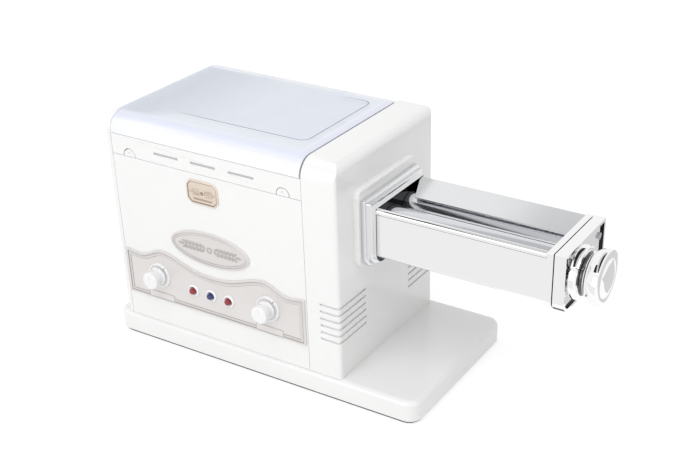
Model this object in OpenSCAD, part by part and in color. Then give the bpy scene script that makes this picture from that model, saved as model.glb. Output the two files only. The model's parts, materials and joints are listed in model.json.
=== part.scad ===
// Countertop pasta machine: a motor housing with a mixing tub, and a sheet roller unit on its
// right side. Lengths are in millimetres and angles in degrees. The object stands on z = 0 and
// its front looks towards -Y. Inside the file, x is counted from the left side of the case,
// y from its front face and z from the floor; machine() moves all of it to the part's origin.

/* [Base] */
// Thickness of the white base
base_t = 22.3; // [16:0.1:34]
// Base beyond the left side of the case
base_left = 14; // [6:0.5:24]
// Base beyond the right side of the case, under the rollers
base_right = 84; // [60:1:120]
// Base beyond the front of the case
base_front = 2; // [1.5:0.5:12]
// Base beyond the back of the case
base_back = 4; // [2:0.5:16]
// Corner radius of the base, seen from above
base_corner_r = 14; // [12:0.5:24]
// Softened top edge of the base
base_edge_r = 5; // [3:0.5:8]
// Height of the rubber feet that shows
foot_h = 1.5; // [1:0.1:5]
// Radius of the rubber feet
foot_r = 10; // [7:0.5:16]
// Thickness of the cover under the base
cover_t = 1.5; // [1.2:0.1:3]

/* [Case] */
// Width of the case
case_w = 272; // [262:1:320]
// Depth of the case
case_d = 179; // [176:1:200]
// Height of the case above the base
case_h = 224; // [221:1:250]
// Wall of the mouldings
wall = 3; // [2.4:0.1:3.6]
// Rounding between the front and the top
front_r = 18; // [12:0.5:20]
// Rounding between the top and the right side
side_r = 10; // [7:0.5:14]
// Rounding of the upright corners
corner_r = 4; // [3.8:0.1:6]
// Width of the drive housing on the right
drive_w = 37; // [36.5:0.5:48]
// Gap shown between two mouldings
seam = 0.4; // [0.2:0.1:0.8]

/* [Lid and tub] */
// Thickness of the transparent lid
lid_t = 2.5; // [2:0.1:3]
// Depth of the lid's front lip, from the top of the case
lid_lip = 18; // [12:0.5:20]
// Height of the strip with the slots, under the lid
strip_h = 22; // [18:0.5:30]
// Distance of the hinge pins from the middle of the tub
hinge_spread = 46; // [30:1:70]
// Radius of the hinge pins
hinge_pin_r = 1.5; // [1.2:0.1:1.8]
// Inner radius of the tub's round floor
tub_r = 65; // [60:0.5:68]
// Wall of the tub
tub_wall = 2.5; // [2:0.1:3]
// Gap between the paddle tips and the tub
paddle_gap = 5; // [3:0.5:10]
// Number of kneading paddles
paddle_count = 5; // [3:1:6]

/* [Rollers] */
// Diameter of both rollers
roller_d = 36; // [34:0.5:37]
// Length of the roller casing between its flange and its end plate
casing_l = 175; // [120:1:240]
// Distance of the front roller's axis from the front of the case
front_roller_y = 64; // [62:0.5:68]
// Height of the roller and kneader axes above the base
shaft_h = 148; // [144:1:156]
// Gap between the rollers at the finest setting
nip_min = 0.3; // [0.2:0.1:1]
// Travel of the front roller from the finest to the coarsest setting
nip_travel = 2.2; // [1.5:0.1:2.6]
// Radius of the roller journals
journal_r = 7; // [6:0.5:8]
// Radius of the regulator knob
regulator_r = 26.5; // [22:0.5:30]
// Length of the regulator knob
regulator_l = 28; // [26:0.5:36]
// Settings round the regulator
regulator_steps = 10; // [6:1:12]

/* [Drive] */
// Radius of the main shaft
main_shaft_r = 8; // [7:0.5:9]
// Radial clearance of every running fit
run_fit = 0.05; // [0.02:0.01:0.08]
// Module of the drive gears
gear_module = 1.5; // [1.45:0.01:1.52]
// Teeth of the main gear
main_teeth = 60; // [56:4:60]
// Teeth of the small wheel of the intermediate gear
small_teeth = 15; // [14:1:16]
// Teeth of the large wheel of the intermediate gear
large_teeth = 52; // [50:1:53]
// Teeth of the motor pinion
pinion_teeth = 14; // [13:1:15]
// Teeth of the gears that join the rollers
roller_teeth = 20; // [18:2:22]
// Radius of the motor
motor_r = 31; // [24:1:33]
// Length of the motor
motor_l = 105; // [80:1:120]

/* [Controls] */
// Height of the control plate at its corners
panel_h = 50; // [46:1:52]
// Distance between the two turning knobs
knob_spread = 137; // [130:1:144]
// Radius of the ring behind each knob
knob_ring_r = 13.5; // [12:0.5:16]
// How far the knobs stand out of the control plate
knob_l = 17; // [12:0.5:24]
// Distance between neighbouring buttons
button_pitch = 22.3; // [18:0.1:28]
// Radius of the button caps
button_r = 3.6; // [3:0.1:4.5]
// Travel of the buttons
button_travel = 1.5; // [1:0.1:2]
// Half width of the oval badge
badge_a = 48.7; // [40:0.5:54]
// Half height of the oval badge
badge_b = 18.7; // [14:0.5:20]

/* [Vents] */
// Number of slots in each group
vent_count = 6; // [3:1:7]
// Distance between neighbouring slots
vent_pitch = 7.6; // [6:0.1:9]
// Width of each slot
vent_w = 2.4; // [1.6:0.1:3]

/* [Hidden] */
$fn = 64;

// Heights and widths that follow from the driving dimensions.
base_top = foot_h + cover_t + base_t;
case_top = base_top + case_h;
seam_x = case_w - drive_w;
side_w = 7;
strip_top = case_top - lid_lip;
strip_bottom = strip_top - strip_h;
shaft_z = base_top + shaft_h;
rear_roller_y = front_roller_y + roller_d + nip_min;

// Roller unit, along x.
plinth_t = 6;
flange_t = 10;
casing_x0 = case_w + plinth_t + flange_t;
casing_x1 = casing_x0 + casing_l;
plate_t = 3;
end_plate_t = 6.5;
cap_x0 = casing_x1 + end_plate_t + 1;
cap_t = 11;
cap_x1 = cap_x0 + cap_t;
knob_x0 = cap_x1 + 1;
regulator_x1 = knob_x0 + regulator_l;
dome_h = 2;

// Roller unit, across.
casing_y0 = front_roller_y - roller_d / 2 - 8;
casing_y1 = rear_roller_y + roller_d / 2 + 8.7;
casing_z0 = shaft_z - 25.4;
casing_z1 = shaft_z + 25.2;
sheet_t = 1.2;
bend_r = 3;
plate_z0 = casing_z0 - 8;

// Control plate and what it carries.
panel_t = 1.5;
panel_x0 = side_w + 2.5;
panel_x1 = seam_x - 2;
panel_mid = (panel_x0 + panel_x1) / 2;
panel_z0 = base_top + 28;
knob_z = panel_z0 + 30;
button_z = panel_z0 + 24;
crest_h = 25;
crest_z = strip_bottom - 19;
middle_drop = 4.5;
badge_low = panel_z0 + panel_h - middle_drop;
badge_high = crest_z - crest_h / 2;
badge_z = badge_low + badge_b + (badge_high - badge_low - 2 * badge_b) * 11.8 / 41.6;
centre_shift = -2.6;
knob_face_y = -panel_t - knob_l;

// Lid hinge: the axis runs along x through these.
hinge_y = case_d - 4.5;
hinge_z = case_top - 5;
knuckle_r = hinge_pin_r + 2;
knuckle_w = 12;
lid_back_y = hinge_y - 4.5;
lid_x1 = seam_x - 2;

// Tub: the round floor is centred on the main shaft.
tub_x0 = side_w + 2;
tub_x1 = seam_x - 4;
tub_top = strip_top - 2;
tub_mid = (tub_x0 + tub_x1) / 2;
tub_y0 = wall + 6;
paddle_r = tub_r - paddle_gap;
kneader_r = 7;

// Bulkhead and gear planes inside the drive housing.
bulkhead_x0 = seam_x + 1;
bulkhead_t = 3;
plane_b = bulkhead_x0 + bulkhead_t + 3;
plane_b_w = 8;
plane_a = plane_b + plane_b_w + 1.5;
plane_a_w = 9;
gear_main_r = gear_module * main_teeth / 2;
gear_small_r = gear_module * small_teeth / 2;
gear_large_r = gear_module * large_teeth / 2;
gear_pinion_r = gear_module * pinion_teeth / 2;
main_small_d = gear_main_r + gear_small_r;
large_pinion_d = gear_large_r + gear_pinion_r;
motor_y = rear_roller_y + 10;
motor_z = base_top + motor_r + 14;
motor_main_d = norm([motor_y - rear_roller_y, motor_z - shaft_z]);
stud_along = (pow(main_small_d, 2) - pow(large_pinion_d, 2) + pow(motor_main_d, 2))
             / (2 * motor_main_d);
stud_off = sqrt(max(0, pow(main_small_d, 2) - pow(stud_along, 2)));
motor_dir = [motor_y - rear_roller_y, motor_z - shaft_z] / motor_main_d;
stud_yz = [rear_roller_y, shaft_z] + stud_along * motor_dir
          + stud_off * [-motor_dir[1], motor_dir[0]];
stud_r = 5;
motor_shaft_r = 4;
roller_module = (roller_d + nip_min) / roller_teeth;

// The origin is the middle of the object's outline, on the floor.
origin_x = (regulator_x1 + dome_h - base_left) / 2;
origin_y = (knob_face_y + case_d + base_back) / 2;

// ---------------------------------------------------------------- helpers

module machine() {
    translate([-origin_x, -origin_y, 0]) children();
}

// A flat shape drawn in (y, z), from x0 to x1.
module along_x(x0, x1) {
    translate([x0, 0, 0]) rotate([90, 0, 90]) linear_extrude(x1 - x0) children();
}

// A flat shape drawn in (x, z), from y0 to y1.
module along_y(y0, y1) {
    translate([0, y1, 0]) rotate([90, 0, 0]) linear_extrude(y1 - y0) children();
}

module rod_x(x0, x1, y, z, r) {
    translate([x0, y, z]) rotate([0, 90, 0]) cylinder(h = x1 - x0, r = r);
}

module rod_y(y0, y1, x, z, r) {
    translate([x, y1, z]) rotate([90, 0, 0]) cylinder(h = y1 - y0, r = r);
}

module block(low, high) {
    translate(low) cube(high - low);
}

// Rectangle with four round corners.
module round_rect(x0, y0, x1, y1, r) {
    translate([x0 + r, y0]) square([x1 - x0 - 2 * r, y1 - y0]);
    translate([x0, y0 + r]) square([x1 - x0, y1 - y0 - 2 * r]);
    for (x = [x0 + r, x1 - r], y = [y0 + r, y1 - r]) translate([x, y]) circle(r);
}

// Rectangle whose two top corners are round, each with its own radius.
module arch(x0, x1, z0, z1, r0, r1) {
    difference() {
        translate([x0, z0]) square([x1 - x0, z1 - z0]);
        difference() {
            translate([x0 - 1, z1 - r0]) square([r0 + 1, r0 + 1]);
            translate([x0 + r0, z1 - r0]) circle(r0);
        }
        difference() {
            translate([x1 - r1, z1 - r1]) square([r1 + 1, r1 + 1]);
            translate([x1 - r1, z1 - r1]) circle(r1);
        }
    }
}

// Rectangle whose two bottom corners are round, for the plates of the roller unit.
module cradle(y0, y1, z0, z1, r) {
    translate([0, z0 + z1]) mirror([0, 1]) arch(y0, y1, z0, z1, r, r);
}

// Outer form of the case, drawn in by a wall thickness.
module envelope(inset) {
    floor_z = inset > 0 ? base_top - 1 : base_top;
    intersection() {
        along_x(inset, case_w - inset)
            arch(inset, case_d - inset, floor_z, case_top - inset, front_r - inset, 3.5);
        along_y(0, case_d)
            arch(inset, case_w - inset, floor_z, case_top - inset, 3.5, side_r - inset);
        translate([0, 0, floor_z]) linear_extrude(case_h + 2)
            round_rect(inset, inset, case_w - inset, case_d - inset, max(0.6, corner_r - inset));
    }
}

module case_shell() {
    difference() {
        envelope(0);
        envelope(wall);
    }
}

// Spur gear in the (y, z) plane. One tooth points along the angle aim. The teeth are a little
// narrow and their tips short of full height, so a pair runs with some backlash.
function tooth_ring(teeth, module_mm, aim) = [
    for (i = [0 : teeth - 1]) for (k = [0 : 5])
        let (
            root_r = module_mm * (teeth / 2 - 1.2),
            pitch_r = module_mm * teeth / 2,
            tip_r = module_mm * (teeth / 2 + 0.9),
            radius = [root_r, pitch_r, tip_r, tip_r, pitch_r, root_r][k],
            share = [-0.33, -0.22, -0.10, 0.10, 0.22, 0.33][k],
            angle = aim + (i + share) * 360 / teeth
        ) [radius * cos(angle), radius * sin(angle)]
];

module gear_x(x0, x1, y, z, teeth, module_mm, aim) {
    along_x(x0, x1) translate([y, z]) polygon(tooth_ring(teeth, module_mm, aim));
}

// Direction from one axis to another, both given as [y, z].
function aim_at(from, to) = atan2(to[1] - from[1], to[0] - from[0]);

// A gear meshed with another: its gap meets the tooth that the other points at it.
function gap_aim(from, to, teeth) = aim_at(from, to) + 180 / teeth;

// Pan-head screw along y, its head on the back face and its shank towards the front.
module screw_y(x, y, z, shank) {
    rod_y(y, y + 2, x, z, 3.2);
    rod_y(y - shank, y, x, z, 1.5);
}

// ---------------------------------------------------------------- base

module base_outline(inset) {
    round_rect(inset - base_left, inset - base_front, case_w + base_right - inset,
               case_d + base_back - inset, base_corner_r - inset);
}

base_rib_t = 3;

module base_plate() {
    z0 = foot_h + cover_t;
    color("white") machine() difference() {
        intersection() {
            translate([0, 0, z0]) linear_extrude(base_t) base_outline(0);
            along_x(-base_left, case_w + base_right)
                arch(-base_front, case_d + base_back, z0, base_top, base_edge_r, base_edge_r);
            along_y(-base_front, case_d + base_back)
                arch(-base_left, case_w + base_right, z0, base_top, base_edge_r, base_edge_r);
        }
        difference() {
            translate([0, 0, z0 - 1]) linear_extrude(base_t - 4 + 1) base_outline(6);
            for (x = [case_w / 4, case_w / 2, case_w * 3 / 4, case_w + base_right / 3])
                block([x, -base_front, z0], [x + base_rib_t, case_d + base_back, base_top]);
            for (p = base_screw_spots) translate([p[0], p[1], z0]) cylinder(h = base_t, r = 5);
        }
        for (p = base_screw_spots) translate([p[0], p[1], z0 - 1]) cylinder(h = 11, r = 1.5);
    }
}

// Screws of the cover, clear of the feet.
foot_in = 12;
screw_to_foot = 13;
base_screw_xs = [2 * foot_r + foot_in - base_left + screw_to_foot, case_w / 2 + 20,
                 case_w + base_right - 2 * foot_r - foot_in - screw_to_foot];
base_screw_spots = [for (x = base_screw_xs, y = [22, case_d - 22]) [x, y]];
foot_spots = [for (x = [foot_r + foot_in - base_left, case_w + base_right - foot_r - foot_in],
                   y = [foot_r + 8, case_d - foot_r - 8]) [x, y]];

module base_cover() {
    color("dimgray") machine() difference() {
        translate([0, 0, foot_h]) linear_extrude(cover_t) base_outline(1.5);
        for (p = base_screw_spots) translate([p[0], p[1], 0]) cylinder(h = 9, r = 1.7);
        for (p = foot_spots) translate([p[0], p[1], 0]) cylinder(h = 9, r = 3);
        for (x = [60 : 9 : 150]) block([x, case_d / 2 - 22, 0], [x + 3.5, case_d / 2 + 22, 9]);
    }
}

// Each foot has a stud that snaps through the cover.
module rubber_feet() {
    color("black") machine() for (p = foot_spots) translate([p[0], p[1], 0]) {
        cylinder(h = foot_h, r = foot_r);
        cylinder(h = foot_h + cover_t + 2, r = 3);
    }
}

module base_screws() {
    color("silver") machine() for (p = base_screw_spots) translate([p[0], p[1], 0]) {
        translate([0, 0, foot_h - 1.2]) cylinder(h = 1.2, r = 3.2);
        translate([0, 0, foot_h]) cylinder(h = 10, r = 1.5);
    }
}

// ---------------------------------------------------------------- case

hinge_xs = [tub_mid - hinge_spread, tub_mid + hinge_spread];

// Left side, back wall and the rail that holds the lid's hinge pins.
module rear_case() {
    rail_y0 = hinge_y - 3;
    rail_top = case_top - 1.5;
    color("white") machine() difference() {
        union() {
            intersection() {
                case_shell();
                union() {
                    block([0, 0, base_top], [side_w, case_d, case_top]);
                    block([0, case_d - wall, base_top], [seam_x - seam, case_d, case_top]);
                }
            }
            block([wall, rail_y0, hinge_z - 6], [seam_x - seam, case_d - wall, rail_top]);
        }
        // The lid rests on the side wall behind its rounded front corner.
        block([-1, front_r, case_top - lid_t - 0.3], [seam_x, case_d + 1, case_top + 1]);
        for (x = hinge_xs) {
            block([x - knuckle_w / 2 - 0.4, rail_y0 - 1, hinge_z - knuckle_r - 0.6],
                  [x + knuckle_w / 2 + 0.4, case_d + 1, case_top + 1]);
            rod_x(x - knuckle_w, x + knuckle_w, hinge_y, hinge_z, hinge_pin_r);
        }
        for (p = case_screw_spots) rod_y(case_d - 12, case_d + 1, p[0], p[1], 1.5);
    }
}

// Screws of the back wall: the upper ones go into the hinge rail.
case_screw_in = 14;
case_screw_zs = [base_top + 16, hinge_z - 2.5];
case_screw_spots = [for (x = [case_screw_in, seam_x - case_screw_in], z = case_screw_zs) [x, z]];

module case_screws() {
    color("silver") machine() for (p = case_screw_spots) screw_y(p[0], case_d, p[1], 8);
}

// Front wall below the slotted strip, with the holes for the controls.
module front_panel() {
    color("white") machine() difference() {
        intersection() {
            case_shell();
            block([side_w + seam, 0, base_top], [seam_x - seam, wall, strip_bottom - seam / 2]);
        }
        for (x = knob_xs) rod_y(-1, wall + 1, x, knob_z, 5);
        for (x = button_xs) rod_y(-1, wall + 1, x, button_z, button_r + 1);
    }
}

slot_w = 30;
slot_h = 2.5;
slot_pitch = 45.2;
catch_w = 14;

// Strip between the lid and the front panel: three slots, and a spring tongue near each end.
module slotted_strip() {
    slot_z = strip_bottom + 9;
    color("white") machine() difference() {
        union() {
            intersection() {
                case_shell();
                block([side_w + seam, 0, strip_bottom + seam / 2],
                      [seam_x - seam, wall, strip_top - seam]);
            }
            // Lip behind, on which the rim of the tub rests.
            block([side_w + 2, wall, tub_top - 7], [seam_x - 2, tub_y0 - 0.2, tub_top - 3]);
        }
        for (i = [-1 : 1])
            block([panel_mid + i * slot_pitch - slot_w / 2, -1, slot_z],
                  [panel_mid + i * slot_pitch + slot_w / 2, wall + 1, slot_z + slot_h]);
        for (x = catch_xs) {
            along_y(-1, wall + 1) difference() {
                catch_outline(x, 0.8);
                catch_outline(x, 0);
            }
            rod_y(-1, 0.8, x, strip_bottom + 4, 1.4);
        }
    }
}

catch_xs = [side_w + 22.5, seam_x - 21];

// Arched tongue, open at the bottom, grown by a slot width.
module catch_outline(x, grow) {
    arch(x - catch_w / 2 - grow, x + catch_w / 2 + grow, strip_bottom - 1,
         strip_bottom + 8 + grow, catch_w / 2 + grow - 0.1, catch_w / 2 + grow - 0.1);
}

plinth_y0 = casing_y0 - 9;
plinth_y1 = casing_y1 + 7;
plinth_z0 = casing_z0 - 13;
plinth_z1 = casing_z1 + 18;
vent_z0 = base_top + 40;
vent_back_t = 1.2;
vent_slit = 0.8;
vent_front_x = seam_x + 15;
vent_front_y = 48;
vent_back_y = 129;

// Right-hand moulding: top, side, the strips on the front and back, the vents and the plinth.
// Each vent is a groove with a slit through the wall under its upper edge.
module drive_housing() {
    color("whitesmoke") machine() difference() {
        union() {
            intersection() {
                case_shell();
                block([seam_x, 0, base_top], [case_w, case_d, case_top]);
            }
            intersection() {
                along_x(case_w - wall, case_w + plinth_t)
                    round_rect(plinth_y0, plinth_z0, plinth_y1, plinth_z1, 9);
                along_y(0, case_d)
                    arch(0, case_w + plinth_t, plinth_z0 - 1, plinth_z1, 1, 2.5);
            }
            // Inner wall beside the lid, above the bulkhead.
            intersection() {
                envelope(wall - 1);
                block([seam_x, 0, bulkhead_z1 + 0.5], [seam_x + inner_wall, case_d, case_top]);
            }
            // Bosses that carry the bulkhead.
            for (p = bulkhead_spots)
                rod_x(bulkhead_x0 + bulkhead_t, case_w - wall, p[0], p[1], 5);
        }
        difference() {
            vent_rows(0, vent_w);
            envelope(wall - vent_back_t);
        }
        vent_rows(vent_w - vent_slit, vent_w);
        rod_x(case_w - wall - 1, case_w + plinth_t + 1, rear_roller_y, shaft_z, main_shaft_r + 4);
        along_y(case_d - wall - 1, case_d + 1) inlet_outline(0);
    }
}

// Bars where the vents are, round the front and the back corner, from one height to another.
module vent_rows(low, high) {
    for (z = [for (i = [0 : vent_count - 1]) vent_z0 + i * vent_pitch]) {
        block([vent_front_x, -1, z + low], [case_w + 1, vent_front_y, z + high]);
        block([case_w - wall - 1, vent_back_y, z + low], [case_w + 1, case_d + 1, z + high]);
    }
}

inner_wall = 2.5;
bulkhead_y0 = 14;
bulkhead_y1 = case_d - 10;
bulkhead_z0 = base_top;
bulkhead_z1 = case_top - 26;
bulkhead_spots = [for (y = [bulkhead_y0 + 10, bulkhead_y1 - 10],
                       z = [bulkhead_z0 + 30, bulkhead_z1 - 8]) [y, z]];

// Steel plate that carries the motor, the gears and the main shaft. It stands on the base.
module bulkhead() {
    color("lightsteelblue") machine() difference() {
        along_x(bulkhead_x0, bulkhead_x0 + bulkhead_t)
            arch(bulkhead_y0, bulkhead_y1, bulkhead_z0, bulkhead_z1, 6, 6);
        rod_x(bulkhead_x0 - 1, bulkhead_x0 + 9, rear_roller_y, shaft_z, main_shaft_r + 4);
        rod_x(bulkhead_x0 - 1, bulkhead_x0 + 9, motor_y, motor_z, motor_r * 0.4);
        rod_x(bulkhead_x0 - 1, bulkhead_x0 + 9, stud_yz[0], stud_yz[1], stud_r);
        for (p = bulkhead_spots) rod_x(bulkhead_x0 - 1, bulkhead_x0 + 9, p[0], p[1], 2);
    }
}

// Wide plate outline of the mains inlet on the back, shared by the hole and the socket.
inlet_x = (bulkhead_x0 + bulkhead_t + case_w) / 2 - 1;
inlet_z = base_top + 22;
inlet_depth = 14;

module inlet_outline(grow) {
    round_rect(inlet_x - 10 - grow, inlet_z - 12 - grow, inlet_x + 10 + grow,
               inlet_z + 12 + grow, 3 + grow);
}

module power_inlet() {
    color("black") machine() {
        difference() {
            union() {
                along_y(case_d, case_d + 1.6) inlet_outline(1.5);
                along_y(case_d - inlet_depth, case_d) inlet_outline(0);
            }
            along_y(case_d - inlet_depth + 2, case_d + 2) inlet_outline(-2);
        }
        // Three flat pins, the middle one set to the side.
        for (i = [-1 : 1])
            block([inlet_x + (i == 0 ? 2 : -3), case_d - inlet_depth + 1.5, inlet_z + 5 * i - 0.5],
                  [inlet_x + (i == 0 ? 4 : -1), case_d - 3, inlet_z + 5 * i + 0.5]);
    }
}

// ---------------------------------------------------------------- plates on the front

wave_h = 13.5;
wave_at = 64;
wave_dip = 93;
wave_low = 0.8;
wave_fall = 3.7;
corner_rise = 2;

// Height of the control plate's wavy top above its bottom edge, at a distance from the middle.
function panel_top(u) =
    u < wave_at ? panel_h - middle_drop + wave_h * (1 - cos(180 * pow(u / wave_at, 1.25))) / 2
    : u < wave_dip ? panel_h - wave_low
                     + (wave_h - wave_fall) * (1 + cos(180 * (u - wave_at) / (wave_dip - wave_at))) / 2
    : panel_h - wave_low + corner_rise * (1 - cos(180 * min(1, (u - wave_dip) / 19))) / 2;

function panel_points(inset) = concat(
    [[panel_x1 - inset, panel_z0 + inset], [panel_x0 + inset, panel_z0 + inset]],
    [for (i = [0 : 60])
        let (x = panel_x0 + inset + (panel_x1 - panel_x0 - 2 * inset) * i / 60)
        [x, panel_z0 + panel_top(abs(x - panel_mid)) - inset]]
);

knob_xs = [panel_mid - knob_spread / 2, panel_mid + knob_spread / 2];
button_xs = [for (i = [-1 : 1]) panel_mid + centre_shift + i * button_pitch];
tab_w = 33;
tab_h = 5;

// Satin plate behind the controls, with a raised double border and a label tab under each knob.
module control_plate() {
    color("lightgray") machine() difference() {
        union() {
            along_y(-panel_t, 0) polygon(panel_points(0));
            along_y(-panel_t - 0.5, -panel_t) difference() {
                polygon(panel_points(0.8));
                polygon(panel_points(2));
            }
            along_y(-panel_t - 0.4, -panel_t) difference() {
                polygon(panel_points(4));
                difference() {
                    polygon(panel_points(4.7));
                    for (x = knob_xs)
                        translate([x - tab_w / 2 - 0.7, panel_z0]) square([tab_w + 1.4, tab_h + 4.7]);
                }
                for (x = knob_xs)
                    translate([x - tab_w / 2, panel_z0]) square([tab_w, tab_h + 4]);
            }
        }
        for (x = knob_xs) rod_y(-9, 1, x, knob_z, 5);
        for (x = button_xs) rod_y(-9, 1, x, button_z, button_r + 1);
    }
}

function oval(a, b) = [for (i = [0 : 71]) [a * cos(i * 5), b * sin(i * 5)]];

// Oval plaque with a double border, its middle left plain.
module oval_badge() {
    color("lightgray") machine() {
        along_y(-1.2, 0) translate([panel_mid, badge_z]) polygon(oval(badge_a, badge_b));
        for (step = [0, 4.2])
            along_y(-1.8, -1.2) translate([panel_mid, badge_z]) difference() {
                polygon(oval(badge_a - step, badge_b - step));
                polygon(oval(badge_a - step - 1.3, badge_b - step - 1.3));
            }
    }
}

crest_w = 38;

// Small bronze plaque: a plain plate with cut corners and a raised rim.
module crest_plate() {
    color("peru") machine() {
        along_y(-1.2, 0) crest_outline(0);
        along_y(-1.8, -1.2) difference() {
            crest_outline(0);
            crest_outline(1.6);
        }
    }
}

module crest_outline(inset) {
    a = crest_w / 2 - inset;
    b = crest_h / 2 - inset;
    cut = 5 - inset * 0.4;
    translate([panel_mid + centre_shift, crest_z])
        polygon([[-a, cut - b], [cut - a, -b], [a - cut, -b], [a, cut - b],
                 [a, b - cut], [a - cut, b], [cut - a, b], [-a, b - cut]]);
}

// ---------------------------------------------------------------- controls

ring_t = 2.5;
board_y0 = 22;
board_t = 1.6;
board_h = 32;
board_past_knob = 16;
post_in = 3.5;
spindle_r = 3;

module knob_rings() {
    color("whitesmoke") machine() for (x = knob_xs) translate([x, 0, knob_z])
        rotate([90, 0, 0]) rotate_extrude()
            polygon([[5, panel_t], [knob_ring_r, panel_t], [knob_ring_r, panel_t + 1],
                     [knob_ring_r - 1, panel_t + ring_t], [5, panel_t + ring_t]]);
}

// Rotary control behind the panel: a can on the board with a threaded neck through the plate.
module rotary_control(x) {
    difference() {
        union() {
            rod_y(wall, board_y0, x, knob_z, 9);
            rod_y(-panel_t, wall, x, knob_z, 5);
        }
        rod_y(-panel_t - 1, wall + 10, x, knob_z, spindle_r + run_fit);
    }
}

module speed_control() {
    color("gray") machine() rotary_control(knob_xs[0]);
}

module timer_control() {
    color("gray") machine() rotary_control(knob_xs[1]);
}

knob_r = 9.5;
knob_cap_t = 6;

// Turning knob with its spindle. Profile in (radius, distance in front of the case).
module turning_knob(x) {
    ring_y = panel_t + ring_t + 0.3;
    front_y = panel_t + knob_l;
    cap_y = front_y - knob_cap_t;
    difference() {
        union() {
            translate([x, 0, knob_z]) rotate([90, 0, 0]) rotate_extrude()
                polygon([[0, ring_y], [knob_r, ring_y], [knob_r, ring_y + 1.6], [knob_r - 1, ring_y + 2.4],
                         [knob_r - 1.6, cap_y], [knob_r - 0.3, cap_y + 0.5], [knob_r - 0.3, front_y - 1.2],
                         [knob_r - 1.5, front_y], [0, front_y]]);
            rod_y(-ring_y, wall + 8, x, knob_z, spindle_r);
        }
        block([x - 0.7, knob_face_y - 1, knob_z], [x + 0.7, knob_face_y + 0.8, knob_z + knob_r]);
    }
}

module speed_knob() {
    color("white") machine() turning_knob(knob_xs[0]);
}

module timer_knob() {
    color("white") machine() turning_knob(knob_xs[1]);
}

bezel_r = button_r + 3.2;

module button_bezels() {
    color("white") machine() for (x = button_xs) translate([x, 0, button_z])
        rotate([90, 0, 0]) rotate_extrude()
            polygon([[button_r + 0.1, -wall], [button_r + 1, -wall], [button_r + 1, panel_t],
                     [bezel_r, panel_t], [bezel_r - 0.5, panel_t + 1.4],
                     [button_r + 0.1, panel_t + 2.2]]);
}

button_out = 5;
switch_y0 = 12;

// Push button: a domed cap on a stem that reaches the switch behind it.
module push_button(x) {
    translate([x, 0, button_z]) rotate([90, 0, 0]) rotate_extrude()
        polygon([[0, -switch_y0 + button_travel + 0.3], [1.5, -switch_y0 + button_travel + 0.3],
                 [1.5, -wall], [button_r, -wall], [button_r, panel_t + button_out - 1],
                 [button_r - 1, panel_t + button_out], [0, panel_t + button_out + 0.4]]);
}

module button_left() {
    color("firebrick") machine() push_button(button_xs[0]);
}

module button_middle() {
    color("steelblue") machine() push_button(button_xs[1]);
}

module button_right() {
    color("firebrick") machine() push_button(button_xs[2]);
}

module push_switches() {
    color("dimgray") machine() for (x = button_xs) {
        block([x - 5, switch_y0 + 1, button_z - 5], [x + 5, board_y0, button_z + 5]);
        rod_y(switch_y0, switch_y0 + 1, x, button_z, 2);
    }
}

// Circuit board behind the controls, on four posts from the front panel.
module control_board() {
    board_x0 = knob_xs[0] - board_past_knob;
    board_x1 = knob_xs[1] + board_past_knob;
    board_z0 = knob_z - board_h * 0.56;
    color("seagreen") machine() {
        block([board_x0, board_y0, board_z0], [board_x1, board_y0 + board_t, board_z0 + board_h]);
        for (x = [board_x0 + post_in, board_x1 - post_in],
             z = [board_z0 + post_in, board_z0 + board_h - post_in])
            rod_y(wall, board_y0, x, z, 2.5);
        block([panel_mid + 12, board_y0 + board_t, knob_z - 12],
              [panel_mid + 34, board_y0 + board_t + 8, knob_z + 8]);
    }
}

// ---------------------------------------------------------------- lid and tub

frame_left = 13;
frame_front = 40;
frame_right = 19;
frame_back = 12;
frame_w = 1.5;
frame_r = 9;

// Transparent lid. Its front lip follows the rounding of the case.
module lid() {
    left_x = 0.6;
    color("lavender", 0.5) machine() difference() {
        union() {
            intersection() {
                difference() {
                    envelope(0);
                    envelope(lid_t);
                }
                union() {
                    block([side_w + seam, -1, strip_top], [lid_x1, lid_back_y, case_top + 1]);
                    block([left_x, front_r + 0.3, case_top - lid_t],
                          [lid_x1, lid_back_y, case_top + 1]);
                }
            }
            // Panel pressed inwards, seen through the lid as a rounded frame.
            translate([0, 0, case_top - lid_t - 1.5]) linear_extrude(1.5 + lid_t / 2) difference() {
                lid_frame(0);
                lid_frame(frame_w);
            }
            for (x = hinge_xs) {
                rod_x(x - knuckle_w / 2, x + knuckle_w / 2, hinge_y, hinge_z, knuckle_r);
                along_x(x - knuckle_w / 2, x + knuckle_w / 2)
                    polygon([[lid_back_y - 2, case_top - lid_t], [lid_back_y - 2, case_top],
                             [hinge_y, hinge_z + knuckle_r], [hinge_y, hinge_z],
                             [hinge_y - knuckle_r, hinge_z]]);
            }
        }
        for (x = hinge_xs)
            rod_x(x - knuckle_w, x + knuckle_w, hinge_y, hinge_z, hinge_pin_r + run_fit);
    }
}

module lid_frame(inset) {
    round_rect(tub_x0 + frame_left + inset, frame_front + inset, lid_x1 - frame_right - inset,
               lid_back_y - frame_back - inset, frame_r - inset);
}

module hinge_pins() {
    color("silver") machine() for (x = hinge_xs)
        rod_x(x - knuckle_w, x + knuckle_w, hinge_y, hinge_z, hinge_pin_r);
}

// Cross-section of the tub in (y, z): round floor, sloping front, upright back.
module tub_section(grow) {
    y_front = tub_y0 + 3 - grow;
    y_slope = rear_roller_y - tub_r - grow;
    y_back = rear_roller_y + tub_r + grow;
    polygon([[y_slope, shaft_z], [y_slope, shaft_z + 6], [y_front, shaft_z + 34],
             [y_front, tub_top + 1], [y_back, tub_top + 1], [y_back, shaft_z]]);
    translate([rear_roller_y, shaft_z]) circle(tub_r + grow, $fn = 96);
}

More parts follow.
